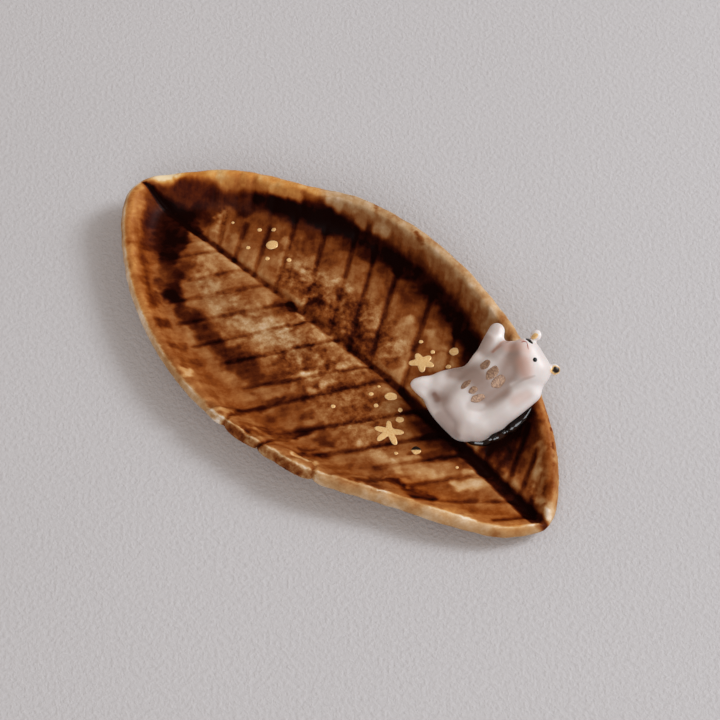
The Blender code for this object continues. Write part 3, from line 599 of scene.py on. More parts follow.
    (0.17, 0.8, (50.5, 8, 1), (52.4, 5, 0.9)),
    (0.36, 0.8, (55.6, 5, 0.8), (56.6, 3.6, 0.7)),
    (0.65, 0.6, (46.8, 4.2, 0.5), (44, 8.8, 0.7), (42.8, 13, 0.8)),
    (0.49, 0.7, (50.7, 4, 0.4), (48.6, 9.6, 0.5)),
    (0.41, 0.75, (54, 3.4, 0.4), (52.3, 7.2, 0.5)),
    (0.79, 0.9, (42, 15.2, 2.4), (42.4, 10, 3), (41, 5, 3)),
    (0.99, 1, (40.6, 15.2, 1.2), (40.4, 11, 1.5), (38.4, 6, 2)),
    (0.55, 0.8, (41, 19.5, 1.3), (48, 13.6, 1.3), (56, 5.2, 1)),
    # foot of the far wall, where the glaze ran together
    (0.8, 0.85, (-42, 13, 1.4), (-36, 16.6, 1.8), (-30, 19.6, 2.2), (-24, 22.2, 2.2)),
    (0.72, 0.85, (-25, 22, 2.4), (-14, 24.9, 2.9), (0, 25.7, 3), (14, 23.6, 3), (23, 18.6, 3.4)),
    (0.99, 0.95, (-39.5, 15.2, 0.9), (-34, 17.7, 1.3), (-30, 19.6, 1.4), (-25, 22.2, 1.5),
                 (-20, 23.8, 1.6), (-14, 25.2, 1.6), (-8, 25.6, 1.6), (0, 25.9, 1.7), (8, 25.2, 1.6),
                 (14, 23.6, 1.7), (19, 22, 1.9), (23, 18.6, 2.4)),
    (1, 0.9, (-36, 17, 0.8), (-30.3, 19.4, 1), (-24.6, 22.2, 1.4), (-19, 23.9, 1.1)),
    (1, 0.9, (-7, 25.2, 1), (-4.4, 25.1, 1.5), (-3, 25.6, 1)),
    (0.98, 0.8, (12, 23.6, 0.8), (14.8, 22.4, 1.2), (18, 21.2, 1)),
    # far wall: faint prints of veins crossing
    (0.42, 0.6, (-20.5, 27, 0.35), (-22.5, 28.6, 0.3)),
    (0.47, 0.6, (-14.5, 27.8, 0.4), (-17.5, 30.4, 0.3)),
    (0.51, 0.6, (-9.5, 28.6, 0.4), (-12.5, 31, 0.3)),
    (0.43, 0.6, (-5, 28.4, 0.4), (-8, 31.2, 0.3)),
    (0.46, 0.6, (-5, 28.4, 0.4), (-3, 31.2, 0.3)),
    (0.42, 0.6, (0.5, 28.6, 0.4), (-2.5, 31.4, 0.3)),
    (0.35, 0.6, (5.5, 28.4, 0.4), (3, 31.2, 0.3)),
    (0.42, 0.6, (10.5, 27.8, 0.4), (8, 30.8, 0.3)),
    (0.37, 0.6, (15.5, 26.6, 0.4), (13, 29.8, 0.3)),
    # darker dabs
    (0.97, 0.9, (-46, -0.2, 1), (-43.4, -4, 1.2)),
    (0.73, 0.8, (-40, -12.4, 0.9), (-39.6, -14, 0.9)),
    (0.7, 0.8, (-37.8, -16.6, 0.9), (-36.6, -17.6, 0.9)),
    (0.78, 0.8, (-28.4, -16.8, 0.8), (-27, -17, 0.8)),
    (0.72, 0.8, (-15, -18, 1.1), (-13.4, -18.4, 1)),
    (0.64, 0.8, (-19, -22.6, 0.8), (-19.4, -25.4, 0.8)),
    (0.82, 0.9, (-12.4, 6.8, 1.3), (-8.4, 6.4, 1.6)),
    (0.75, 0.8, (-4.8, -1.8, 1), (1.6, -2.4, 1.1)),
    (0.77, 0.8, (-1.4, -5.8, 0.9), (-4, -9.4, 1)),
    (0.71, 0.8, (2.2, -8.4, 0.9), (0.6, -10.2, 0.9)),
    (0.79, 0.8, (-5.6, -13.4, 1.2), (-7.6, -17.8, 1.3)),
    (0.73, 0.8, (6.6, -13.4, 1), (6.2, -15.2, 1.1)),
    (0.96, 0.8, (8.8, -18.4, 0.8), (8, -20.6, 0.8)),
    (0.69, 0.8, (5, 4.8, 0.9), (10.6, 6.8, 1.4)),
    (0.7, 0.8, (-7.4, 22, 1.5), (1.4, 20.4, 1.5)),
    (0.78, 0.8, (-18.4, 22, 1.1), (-12, 23.2, 1.1)),
    (0.71, 0.8, (-28.6, 18.2, 1), (-25.6, 18, 1)),
    (0.96, 0.7, (42.4, 8, 0.9), (43.8, 4, 0.9)),
    (0.57, 0.8, (46.6, -3.4, 0.8), (47.6, -2.6, 0.6)),
    (0.72, 0.8, (25.6, -19.8, 0.9), (30, -17.8, 0.9)),
    (0.76, 0.7, (-5, 28, 0.8), (-1.6, 28.2, 0.8)),
    # wiped spots
    (0.23, 0.85, (-37.6, 18.2, 0.7), (-31.4, 20.8, 0.7)),
    (0.17, 0.85, (-26, 24.2, 0.8), (-23.4, 25, 0.8)),
    (0.22, 0.8, (-14.4, 27, 0.8), (-11.8, 28, 0.8)),
    (0.36, 0.8, (-19, 26, 0.6), (-17, 26.2, 0.6)),
    (0.28, 0.85, (-28.6, 13.6, 0.9), (-26.4, 10.8, 0.9)),
    (0.14, 0.8, (-19.6, 9.8, 1.2), (-17.2, 9.8, 1.2)),
    (0.13, 0.75, (-14.8, 6.2, 0.6), (-12.4, 0.8, 0.8), (-11.8, -3.6, 0.9)),
    (0.19, 0.85, (-8.2, -6, 1.2), (-5.4, -6.6, 1.4)),
    (0.22, 0.85, (-21.8, -4.6, 1.2), (-19.8, -3.4, 1.2)),
    (0.29, 0.8, (-25.6, -4.4, 0.8), (-24.8, -5.6, 0.8)),
    (0.3, 0.8, (-43.8, 8, 0.6), (-40.6, 4.6, 0.6)),
    (0.26, 0.8, (-13, 12.8, 1.1), (-10.2, 14.6, 1.1)),
    (0.29, 0.8, (-4, 12.6, 0.8), (-2.6, 11, 0.8)),
    (0.25, 0.8, (5, 13.2, 1), (5.4, 17, 1)),
    (0.34, 0.8, (10.6, 17.4, 1.2), (14.8, 16.6, 1.2)),
    (0.37, 0.75, (9.6, -13, 1.1), (12.2, -13.4, 1)),
    (0.34, 0.75, (19.2, -11.6, 1), (21.4, -12.4, 1)),
    (0.14, 0.8, (27.4, -10.6, 0.9), (29, -10.8, 0.9)),
    (0.3, 0.75, (31.4, -12.2, 0.9), (33, -12.8, 0.9)),
    (0.21, 0.8, (15.8, -22.4, 0.6), (17.2, -22.6, 0.6)),
    (0.19, 0.8, (39, -1.6, 0.8), (40.4, -0.6, 0.7)),
    (0.29, 0.75, (46.6, 12, 0.7), (49.8, 8.2, 0.7)),
    (0.31, 0.75, (53, 4.6, 0.7), (54.8, 3.4, 0.7)),
    # the knot on the midrib and the pool at the figure's hip
    (0.73, 0.75, (-18.2, 0.8, 1.3), (-15.5, 1, 1.6), (-13, 4, 1.3)),
    (0.84, 0.6, (-11, 4.2, 1), (-4, 4.5, 1), (4, 4.2, 0.7)),
    (0.8, 0.8, (19.5, 2.4, 2), (24, 0.6, 3.2), (30, -0.6, 3.2), (36, 0.5, 2.4)),
    (1, 1, (21.4, 2.6, 1), (25, 1.4, 2.2), (29, 1, 2.4), (33, 1.4, 1.8)),
    # wiped cream at both ends
    (0.01, 1, (-58.5, 3.6, 1.5), (-56.4, 5.4, 1.5)),
    (0.16, 0.9, (58.4, 1.8, 0.8), (57.6, 3, 0.8)),
)

# The midrib holds its oxide between crisp edges
MIDRIB_STROKES = (
    (0.9, 1, (-61, 0.2, 0.3), (-54, 0.7, 0.6), (-46, 1.3, 0.8), (-42, 1.6, 0.7)),
    (0.7, 0.9, (-43, 1.6, 0.6), (-36, 2, 0.55), (-30, 2.3, 0.5)),
    # From about -31 to 3 the midrib is painted paler, partly a painted sheen of the glaze over the groove
    (0.62, 0.8, (-31, 2.3, 0.55), (-24, 2.6, 0.5), (-19, 2.8, 0.45)),
    (0.54, 0.6, (-14, 2.9, 0.45), (-3, 3.3, 0.45), (3, 3.5, 0.5)),
    (0.74, 0.9, (2, 3.5, 0.5), (10, 3.7, 0.65), (17, 3.4, 0.8)),
    (0.9, 0.9, (16, 3.4, 0.7), (20, 3, 1), (24, 2.6, 1.2)),
    (0.96, 1, (-16.2, 2.4, 0.9), (-15.2, 1.9, 1.2)),
    (1, 1, (24, 2.5, 1.3), (34, 1.9, 1.6), (44, 1.2, 1.6)),
    (0.92, 1, (44, 1.2, 1.6), (52, 0.5, 1.6), (55.8, 0.1, 1.7)),
    (0.8, 1, (56.6, 0, 1.7), (58.2, -0.3, 1.4)),
)

# Where the oxide is thin it is orange rather than grey, again as strokes
AMBER = 0.25
AMBER_STROKES = (
    (1, 1, (-58, 4, 2.6), (-51, 8, 3.4)),
    (0.72, 1, (-59, -2, 3), (-50, -11.5, 3.5), (-40, -19.5, 3.5), (-34, -22, 3.5)),
    (0.52, 1, (-30, -23.5, 4), (-15, -25, 4.5), (0, -25, 4.5), (12, -23, 3.5), (25, -19, 2.6)),
    (0.8, 1, (33, -13, 4), (43, -9, 4), (54, -3.5, 3)),
    (1, 0.8, (-52, 10, 3), (-40, 18, 3), (-30, 23, 3)),
    (0.12, 0.7, (-38, 5, 3), (-20, 12, 5), (8, 12, 6)),
    (0.35, 0.7, (30, -7, 4), (45, -4, 3)),
    (0, 0.9, (-26, 26, 2.2), (-10, 30, 2.4), (6, 29.5, 2.4), (18, 26, 2)),
    (0, 0.8, (-33, -7, 2.5), (-26, -8, 3.5), (-16, -6, 4), (-6, -4, 3)),
    (0.6, 0.8, (41, 19.5, 1.3), (48, 13.6, 1.3), (56, 5.2, 1)),
)

# Brown on the cut faces of the torn near lip, and a paler band beside them
CUT_FACES = (
    (0.15, 0.9, (-61, -1, 1.6), (-50, -14, 1.6), (-40, -21, 1.6), (-30, -26, 1.3)),
    (0.48, 0.8, (22, -24.6, 0.5), (27, -22.2, 0.6)),
    (0.46, 0.8, (47, -11.6, 0.5), (51, -8.8, 0.6)),
    (0.3, 0.9, (-28, -26.5, 1), (-22, -28.5, 1.2), (-10, -30, 1.5), (-4, -30, 1.2)),
    (0.3, 0.9, (19.5, -25.5, 1.2), (28, -22, 1.5), (40, -15.5, 1.5), (50, -9.5, 1.5), (59, -2, 1.2)),
    (0.52, 0.9, (-2.4, -30, 1.2), (0, -30.2, 1.4), (2.7, -29.8, 1.4), (4.4, -29.3, 1)),
    (0.48, 0.9, (7, -28.8, 1.2), (12, -28, 1.5), (17.5, -26.2, 1.2)),
    (0.74, 0.9, (10.6, -28, 0.8), (13.2, -27.6, 0.9), (16, -26.6, 0.7)),
    (0.66, 0.8, (1.4, -30.1, 0.6), (3.4, -29.6, 0.6)),
    (0.4, 0.8, (36, 22.5, 1.2), (46, 16.5, 1.2), (54, 8.5, 1.2), (58, 3, 0.8)),
    (0.66, 0.9, (38, 22, 0.2), (38.5, 21.5, 0.2)),
    (0.72, 0.9, (42.4, 19, 0.2), (43, 18.4, 0.25)),
    (0.66, 0.9, (44.4, 17.6, 0.15), (44.8, 17.1, 0.2)),
    (0.74, 0.9, (46.2, 16, 0.25), (46.6, 15.6, 0.2)),
    (0.74, 0.9, (48.6, 13.8, 0.2), (49.4, 13, 0.25)),
    (0.64, 0.9, (50.4, 12.2, 0.15), (50.8, 11.6, 0.2)),
    (0.7, 0.9, (51.6, 10.8, 0.25), (52, 10.2, 0.2)),
    (0.66, 0.9, (53.2, 9, 0.2), (53.5, 8.5, 0.15)),
    (0.74, 0.9, (54.2, 7.8, 0.2), (54.8, 7, 0.25)),
)

# How strongly the wash is mottled
MOTTLE = 0.22
MOTTLE_STROKES = (
    (0.6, 1, (-36, -4, 4), (-24, -7, 6), (-14, -9, 6)),
    (0.95, 1, (-10, -4, 7), (8, -5, 8), (18, -8, 6)),
    (0.9, 1, (-6, -29.6, 1.2), (6, -29.4, 1.2), (19, -25.8, 1.2)),
    (1, 1, (-20, 9, 5), (-4, 9, 6), (6, 9, 5)),
)


# %% Paint the oxide
SOFT_EDGE = (0.35, 1.60)
CRISP_EDGE = (0.75, 1.25)
# How far a stroke's edge wanders, and over what size
WANDERS = ((0.60, 2.4), (0.28, 0.9))
MIDRIB_WANDER, MIDRIB_WANDER_SIZE = 0.12, 1.5
FLAT_SLOPE = (0.55, 0.92)
STEEP_SHARE = 0.25
BAND_HALF = 0.4
# The amber fades on the band beside the cut near lip, more on the left of this place than on its right
BAND_PLACE = 18
BAND_LEFT, BAND_RIGHT = 0.75, 0.35
STAIN_HALF = 0.40
STAIN_FROM_RIM = (3.0, 1.8)
STAIN, STAIN_COVER = 0.80, 0.8
# The crest of the near lip is painted cream, and hardly the far one: the glaze thins over the edge there, and
# the line is partly a painted highlight
CREST_LINE_HALF = 0.22
CREST_LINE = 0.05
CREST_COVER_NEAR, CREST_COVER_FAR = 0.70, 0.05
CREST_EVEN, CREST_BREAKS, CREST_BREAK_SIZE = 0.8, 0.5, 2.0
# Relief is how far a vertex stands out from the mean of its surroundings
RELIEF_ROUNDS = 12
RELIEF_SOFTENING = 2


def brush(path, x, y, edge=SOFT_EDGE):
    """How much of a stroke each point gets: 1 along its middle, fading out past its half width."""
    path = np.array(path, float)
    lengths = np.hypot(*np.diff(path[:, :2], axis=0).T)
    away, share = distance_to(path, x, y)
    widths = np.interp(share, np.concatenate([[0], np.cumsum(lengths)]) / lengths.sum(), path[:, 2])
    return 1 - smoothstep(*edge, away / widths)


def painted(start, strokes, x, y, edge=SOFT_EDGE, within=1):
    """Strokes laid over one another on an even start, or on a start of its own for each point."""
    value = np.zeros(len(x)) + start
    for depth, cover, *path in strokes:
        value += (depth - value) * cover * brush(path, x, y, edge) * within
    return value


def wander(seed):
    """How far the edge of a stroke strays at each vertex, less on the steep walls."""
    stray = sum(far * waver(x, y, size, seed + 2 * index) for index, (far, size) in enumerate(WANDERS))
    return (STEEP_SHARE + (1 - STEEP_SHARE) * smoothstep(*FLAT_SLOPE, upward)) * stray


warp_x, warp_y = x + wander(3), y + wander(4)
brown = painted(WASH, STROKES, warp_x, warp_y)
amber = painted(AMBER, AMBER_STROKES, warp_x, warp_y)
mottled = painted(MOTTLE, MOTTLE_STROKES, x, y)
brown = painted(brown, MIDRIB_STROKES, x + MIDRIB_WANDER * waver(x, y, MIDRIB_WANDER_SIZE, 31),
                y + MIDRIB_WANDER * waver(x, y, MIDRIB_WANDER_SIZE, 32), CRISP_EDGE)
band = smoothstep(crest_in + BAND_HALF, crest_in - BAND_HALF, rim_away)
brown = painted(brown, CUT_FACES, x, y, within=band)
amber *= 1 - np.where(x < BAND_PLACE, BAND_LEFT, BAND_RIGHT) * band * near_side
stain = np.zeros(len(x))
for share, notch in NOTCHES:
    away, _ = distance_to(notch, x, y)
    stain = np.maximum(stain, share * ridge(away, STAIN_HALF) * smoothstep(*STAIN_FROM_RIM, rim_away))
# The pale crest line: thin glaze over the edge, and partly a painted highlight
crest = ridge(rim_away - crest_in, CREST_LINE_HALF) * smoothstep(*CREST_SLOPE, upward)
broken = CREST_EVEN + CREST_BREAKS * waver(x, y, CREST_BREAK_SIZE, 9)
crest *= np.where(near_side, CREST_COVER_NEAR, CREST_COVER_FAR) * broken
brown += (CREST_LINE - brown) * np.clip(crest, 0, 1) * (1 - stain)
brown += (STAIN - brown) * STAIN_COVER * stain

relief = ((points - blurred(points, dish_mesh, RELIEF_ROUNDS)) * normals).sum(1)
relief = blurred(relief, dish_mesh, RELIEF_SOFTENING)
print("brown from", round(float(brown.min()), 2), "to", round(float(brown.max()), 2),
      "relief", relief.min().round(2), relief.max().round(2))

# %% Store what the material reads
# Cosine and sine of the 57 degrees at which the veins run
VEIN_COS, VEIN_SIN = 0.545, 0.839
OUTER_SLOPE = (-0.15, -0.45)


def store(mesh, name, values):
    """Keeps one number for each vertex under a name."""
    attribute = mesh.attributes.new(name, "FLOAT", "POINT")
    attribute.data.foreach_set("value", np.ascontiguousarray(values, np.float32))


kept = {"brown": brown, "amber": amber, "mottled": mottled, "vein": vein_away, "vein_strength": vein_strength,
        "relief": relief, "outer": smoothstep(*OUTER_SLOPE, upward)}
for name, values in kept.items():
    store(dish_mesh, name, values)
side = np.abs(y - midrib_height(x))
across = x * VEIN_SIN + side * VEIN_COS
along = -x * VEIN_COS + side * VEIN_SIN
grain = dish_mesh.attributes.new("leaf_grain", "FLOAT_VECTOR", "POINT")
grain.data.foreach_set("vector", np.stack([across, along, y * 0], -1).astype(np.float32).ravel())

# %% [markdown]
# ## Material: iron-washed stoneware under a clear glaze
# The eye sees a glassy coat over a colour that runs from cream through amber to near black. The
# stored depth of brown picks the colour. Clouds of 4.6 mm and specks of 1.5 mm break it up as a
# wiped wash does, grain stretched along the veins streaks it, grooves hold more oxide, and raised
# edges where the glaze thins go pale. Fired glaze has an IOR of about 1.5, and its shine is held
# low, because the photograph shows hardly any on the floor of the dish.

# %% Stoneware material
GREY_STOPS = [(0.00, "#E8DED4"), (0.14, "#CDB499"), (0.28, "#B39068"), (0.42, "#98683E"),
              (0.56, "#7C421C"), (0.70, "#55250E"), (0.84, "#310F06"), (1.00, "#140301")]
AMBER_STOPS = [(0.00, "#EFDAB4"), (0.14, "#DDAE69"), (0.28, "#CE8A3F"), (0.42, "#AE652A"),
               (0.56, "#8A4210"), (0.70, "#632505"), (0.84, "#3B0D03"), (1.00, "#140301")]
BACK_STOPS = [(0.3, "#E0CDB0"), (0.5, "#CFA272"), (0.7, "#A86B34")]
CLOUD_SIZE = 4.6 * MM
SPECK_SIZE = 1.5 * MM
SPECK_HIGH = 0.06 * MM
STREAKS_IN_A_MM = (0.9, 0.14, 1.0)
# How far each layer shifts the depth of brown. A pair is for the calmest and the most mottled places.
CLOUD_STRENGTH = (0.25, 1.15)
SPECK_STRENGTH = (0.12, 0.85)
STREAK_STRENGTH = 0.20
LINE_STRENGTH = 0.42
RELIEF_MIDDLE, RELIEF_STRENGTH = 0.03, -0.75

stoneware, tree, shader = new_material("iron-washed glazed stoneware")
place = add_node(tree, "TexCoord").outputs["Object"]
stored = {name: add_node(tree, "Attribute", attribute_name=name).outputs["Fac"] for name in kept}
leaf_grain = add_node(tree, "Attribute", attribute_name="leaf_grain").outputs["Vector"]

cloudy = add_node(tree, "TexNoise", {"Vector": place, "Scale": 1 / CLOUD_SIZE, "Detail": 4.0,
                                     "Roughness": 0.50, "Distortion": 0.1})
speckle = add_node(tree, "TexNoise", {"Vector": place, "Scale": 1 / SPECK_SIZE, "Detail": 4.0,
                                      "Roughness": 0.64})
stretch = add_node(tree, "Mapping", {"Vector": leaf_grain, "Scale": STREAKS_IN_A_MM}, vector_type="POINT")
streaks = add_node(tree, "TexNoise", {"Vector": stretch, "Scale": 1.0, "Detail": 4.0, "Roughness": 0.6})


def plus(tree, value, centre, strength, base):
    """base + (value - centre) * strength"""
    shifted = add_node(tree, "Math", {0: value, 1: centre}, operation="SUBTRACT")
    return add_node(tree, "Math", {0: shifted, 1: strength, 2: base}, operation="MULTIPLY_ADD")


tone = stored["brown"]
for layer, (calm, lively) in ((cloudy, CLOUD_STRENGTH), (speckle, SPECK_STRENGTH)):
    strength = add_node(tree, "MapRange", {"Value": stored["mottled"], "To Min": calm, "To Max": lively})
    tone = plus(tree, layer, 0.5, strength, tone)
tone = plus(tree, streaks, 0.5, STREAK_STRENGTH, tone)
line = add_node(tree, "MapRange", {"Value": stored["vein"], "From Min": 0.0, "From Max": 1.0,
                                   "To Min": LINE_STRENGTH, "To Max": 0.0}, interpolation_type="SMOOTHSTEP")
line = add_node(tree, "Math", {0: line, 1: streaks}, operation="MULTIPLY")
line = add_node(tree, "Math", {0: line, 1: stored["vein_strength"]}, operation="MULTIPLY")
tone = add_node(tree, "Math", {0: tone, 1: line}, operation="ADD")
tone = plus(tree, stored["relief"], RELIEF_MIDDLE, RELIEF_STRENGTH, tone)
grey = add_node(tree, "ValToRGB", {"Fac": tone}, GREY_STOPS)
warm = add_node(tree, "ValToRGB", {"Fac": tone}, AMBER_STOPS)
colour = add_node(tree, "Mix", {0: stored["amber"], 6: grey, 7: warm}, data_type="RGBA").outputs[2]
back = add_node(tree, "ValToRGB", {"Fac": cloudy}, BACK_STOPS)
mixed = add_node(tree, "Mix", {0: stored["outer"], 6: colour, 7: back}, data_type="RGBA").outputs[2]
bump = add_node(tree, "Bump", {"Height": speckle, "Strength": 0.2, "Distance": SPECK_HIGH})
gloss = add_node(tree, "MapRange", {"Value": cloudy, "To Min": 0.28, "To Max": 0.44})
wire(tree, shader, {"Base Color": mixed, "Roughness": gloss, "Normal": bump, "IOR": 1.5,
                    "Specular IOR Level": 0.025})

dish_mesh.materials.clear()
dish_mesh.materials.append(stoneware)
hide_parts("leaf_dish")
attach(dish, "root")

# %% [markdown]
# ## The bear: soft fused porcelain
# The figure is about 32 mm long and was modelled from a few rolls of porcelain, smoothed together
# with a wet finger. Each roll is a chain of overlapping balls along a short curve. The balls are
# remeshed to one skin, and smoothing fills the creases as the finger did. The rolls are those of
# the CAD solids, in the bear's own frame: feet to crown along X, its right side along Y.

# %% Rolls of the figure, as shares of its length
BEAR_LENGTH = 32 * MM
BEAR_FRAME = Matrix.Translation((30.96 * MM, 10.97 * MM, 3.1 * MM)) @ Matrix.Rotation(radians(57), 4, "Z")
HEAD_MIDDLE = Vector((0.313, 0.0145, 0.400)) * BEAR_LENGTH
ROLLS = {
    "torso": ((-0.085, -0.003, 0.15, 0.166), (0.05, 0.038, 0.202, 0.186), (0.2, 0.082, 0.318, 0.164)),
    "flank": ((-0.12, 0.119, 0.203, 0.078), (-0.01, 0.124, 0.259, 0.08), (0.05, 0.184, 0.325, 0.06)),
    "neck": ((0.226, 0.11, 0.378, 0.119), (0.241, 0.063, 0.378, 0.109)),
    "head": ((0.303, 0.083, 0.432, 0.114), (0.328, -0.009, 0.39, 0.125)),
    "leg_right": ((-0.041, 0.095, 0.184, 0.125), (-0.19, 0.132, 0.172, 0.1), (-0.262, 0.149, 0.165, 0.072),
                  (-0.333, 0.174, 0.174, 0.052), (-0.378, 0.185, 0.171, 0.039)),
    "foot_right": ((-0.384, 0.185, 0.17, 0.035), (-0.346, 0.131, 0.153, 0.039),
                   (-0.313, 0.093, 0.127, 0.03)),
    "seat": ((-0.285, 0.126, 0.096, 0.065), (-0.249, 0.042, 0.072, 0.08), (-0.197, -0.043, 0.05, 0.088),
             (-0.139, -0.116, 0.035, 0.098)),
    "thigh_left": ((-0.052, -0.162, 0.1, 0.109), (-0.071, -0.141, 0.147, 0.106),
                   (-0.088, -0.135, 0.174, 0.085)),
    "shin_left": ((-0.107, -0.139, 0.177, 0.075), (-0.122, -0.156, 0.116, 0.08),
                  (-0.128, -0.159, 0.069, 0.083)),
    "hip_left": ((0.053, -0.169, 0.177, 0.098), (-0.016, -0.169, 0.153, 0.103),
                 (-0.059, -0.165, 0.12, 0.106)),
    "arm_right": ((0.092, 0.173, 0.294, 0.092), (0.122, 0.236, 0.341, 0.072), (0.19, 0.333, 0.388, 0.054)),
    "arm_left": ((0.284, -0.112, 0.322, 0.088), (0.16, -0.153, 0.268, 0.093), (0.04, -0.17, 0.182, 0.098)),
}
EARS = {"left": ((0.158, -0.051, -0.009), (0.10, -0.45, 0.89)),
        "right": ((0.088, 0.164, 0.094), (-0.55, -0.10, 0.83))}


def curve_through(knots, steps):
    """Points on a smooth curve through the knots, which may hold any number of values."""
    knots = [np.array(knot, float) for knot in knots]
    padded = [2 * knots[0] - knots[1], *knots, 2 * knots[-1] - knots[-2]]
    path = []
    for before, start, end, after in zip(padded, padded[1:], padded[2:], padded[3:]):
        bend = 2 * before - 5 * start + 4 * end - after
        twist = 3 * start - before - 3 * end + after
        for t in np.arange(steps) / steps:
            path.append(0.5 * (2 * start + (end - before) * t + bend * t ** 2 + twist * t ** 3))
    return path + [knots[-1]]


# %% Fuse the rolls
BEAR_CELL = 0.24 * MM
BEAR_SMOOTHING = 10
BALL_STEPS = 8
FILLET = 1.0 * MM
SHRINK_STEPS = 8
EAR_RADIUS = 1.28 * MM
EAR_FLATNESS = 0.6
EAR_SMOOTHING = 6


def add_ball(bm, radius, matrix):
    """A round ball in a bmesh."""
    bmesh.ops.create_icosphere(bm, subdivisions=3, radius=radius, matrix=matrix)


bm = bmesh.new()
for knots in ROLLS.values():
    for ball in curve_through(knots, BALL_STEPS):
        add_ball(bm, float(ball[3]) * BEAR_LENGTH + FILLET,
                 BEAR_FRAME @ Matrix.Translation(Vector(ball[:3]) * BEAR_LENGTH))
bear = object_from(bm, "bear_figure")
bear_mesh = even_cells(bear, BEAR_CELL, BEAR_SMOOTHING)
for _ in range(SHRINK_STEPS):
    shrunk = blurred(places_of(bear_mesh) - normals_of(bear_mesh) * FILLET / SHRINK_STEPS, bear_mesh, 1)
    bear_mesh.vertices.foreach_set("co", shrunk.ravel())
    bear_mesh.update()

bm = bmesh.new()
bm.from_mesh(bear_mesh)
for offset, facing in EARS.values():
    turn = Vector(facing).to_track_quat("Z", "Y").to_matrix().to_4x4()
    place_ear = BEAR_FRAME @ Matrix.Translation(HEAD_MIDDLE + Vector(offset) * BEAR_LENGTH) @ turn
    add_ball(bm, EAR_RADIUS, place_ear @ Matrix.Diagonal((1, 1, EAR_FLATNESS, 1)))
bm.to_mesh(bear_mesh)
bm.free()
bear_mesh = even_cells(bear, BEAR_CELL, EAR_SMOOTHING)
print("bear faces:", len(bear_mesh.polygons))

# %% [markdown]
# ## The bear: painted shade and tints
# The white is not even. Greyish violet strokes paint shade on the chest, the belly and the
# forehead and in the creases, and brown strokes paint shade in the crotch and beside the knee.
# The cheek has a breath of pink, and the brown of the dish crept up a little where the two touch.
# These are strokes again, placed on the figure as seen from its front, in millimetres across and up.

# %% Paint the figure
FRONT_ACROSS = Vector((0.975, -0.223, 0))
FRONT_UP = Vector((0.189, 0.827, 0.53))
FRONT = Vector((-0.118, -0.517, 0.848))
# Painted shade, greyish violet: the shaded chest, belly and forehead, and the creases
MAUVE_SHADE_STROKES = (
    (0.9, 1, (-5.5, 7.6, 1.6), (-1.4, 7.6, 2.4), (0.3, 5.3, 2.4)),
    (0.8, 1, (0.7, 12.6, 1.3), (1.7, 14.7, 1.2)),
    (0.5, 1, (3, 16.5, 1), (3.5, 17.3, 1)),
    (0.95, 1, (6.5, 12.6, 1.6), (6.3, 10.3, 2.4), (5.3, 7.4, 2.4), (4.4, 5.8, 2)),
    (0.95, 1, (4.4, 4.1, 1.5), (1.5, 2.9, 2), (-0.5, 2, 1.6)),
    (0.4, 1, (-2.2, 1.2, 0.9), (-0.1, 1, 0.9)),
    (0.4, 1, (-5.9, 4.9, 1.6), (-7.2, 3.3, 1.4)),
    (0.45, 1, (6.1, 5.5, 0.35), (8.6, 6.7, 0.3), (10.6, 7.3, 0.2)),
    (0.5, 1, (2.8, 12, 1.4), (4.4, 13.2, 1.3)),
    (0.28, 1, (6.9, 2, 1.4), (9.4, 3.7, 1.2)),
    (0.22, 1, (12.2, 12.2, 2.2), (12.9, 8.7, 2.2)),
)
# Blush on the cheek and the muzzle, but for the two strokes marked below
PINK_STROKES = (
    (0.6, 1, (8.4, 10.1, 1.5), (8.8, 8.2, 1.4)),
    (0.45, 1, (5.3, 13.2, 1), (7.7, 13.6, 1.2), (9, 12.6, 1)),
    # painted shade in the crease at the armpit
    (0.8, 1, (2.4, 12.2, 0.3), (4.4, 14, 0.35), (6.9, 14.9, 0.35), (8.6, 14.5, 0.2)),
    # painted shade on the lower flank
    (0.3, 1, (6.9, 2.4, 1.2), (9, 3.3, 1)),
)
# Painted shade, brown: the crotch, beside the knee, and the crease at the armpit
BROWN_SHADE_STROKES = (
    (0.45, 1, (-9.5, 3.2, 1.2), (-8.2, 2, 1.8)),
    (0.8, 1, (-9.4, 3.4, 0.5), (-8.8, 2.4, 0.7)),
    (0.3, 1, (-7.2, -0.3, 1.3), (-5.6, -3.2, 1.6)),
    (0.42, 1, (-8.4, -0.9, 0.8), (-6.9, -3.1, 0.8), (-4.7, -5, 0.6)),
    (0.32, 1, (2.4, 12.2, 0.2), (4.4, 14, 0.25), (6.9, 14.9, 0.2)),
)
FRONT_EDGE = (-0.05, 0.35)
SEEN_EDGE = (-0.60, -0.10)
CREEP_GAP = (1.1, 0.15)
CREEP_DEPTH = 0.8
CREEP_WAVER, CREEP_WAVER_SIZE = 0.35, 1.6


def tree_of(mesh):
    """A tree of a mesh's faces, to find the nearest place on it or the place a ray meets."""
    return BVHTree.FromPolygons([v.co for v in mesh.vertices], [p.vertices for p in mesh.polygons])


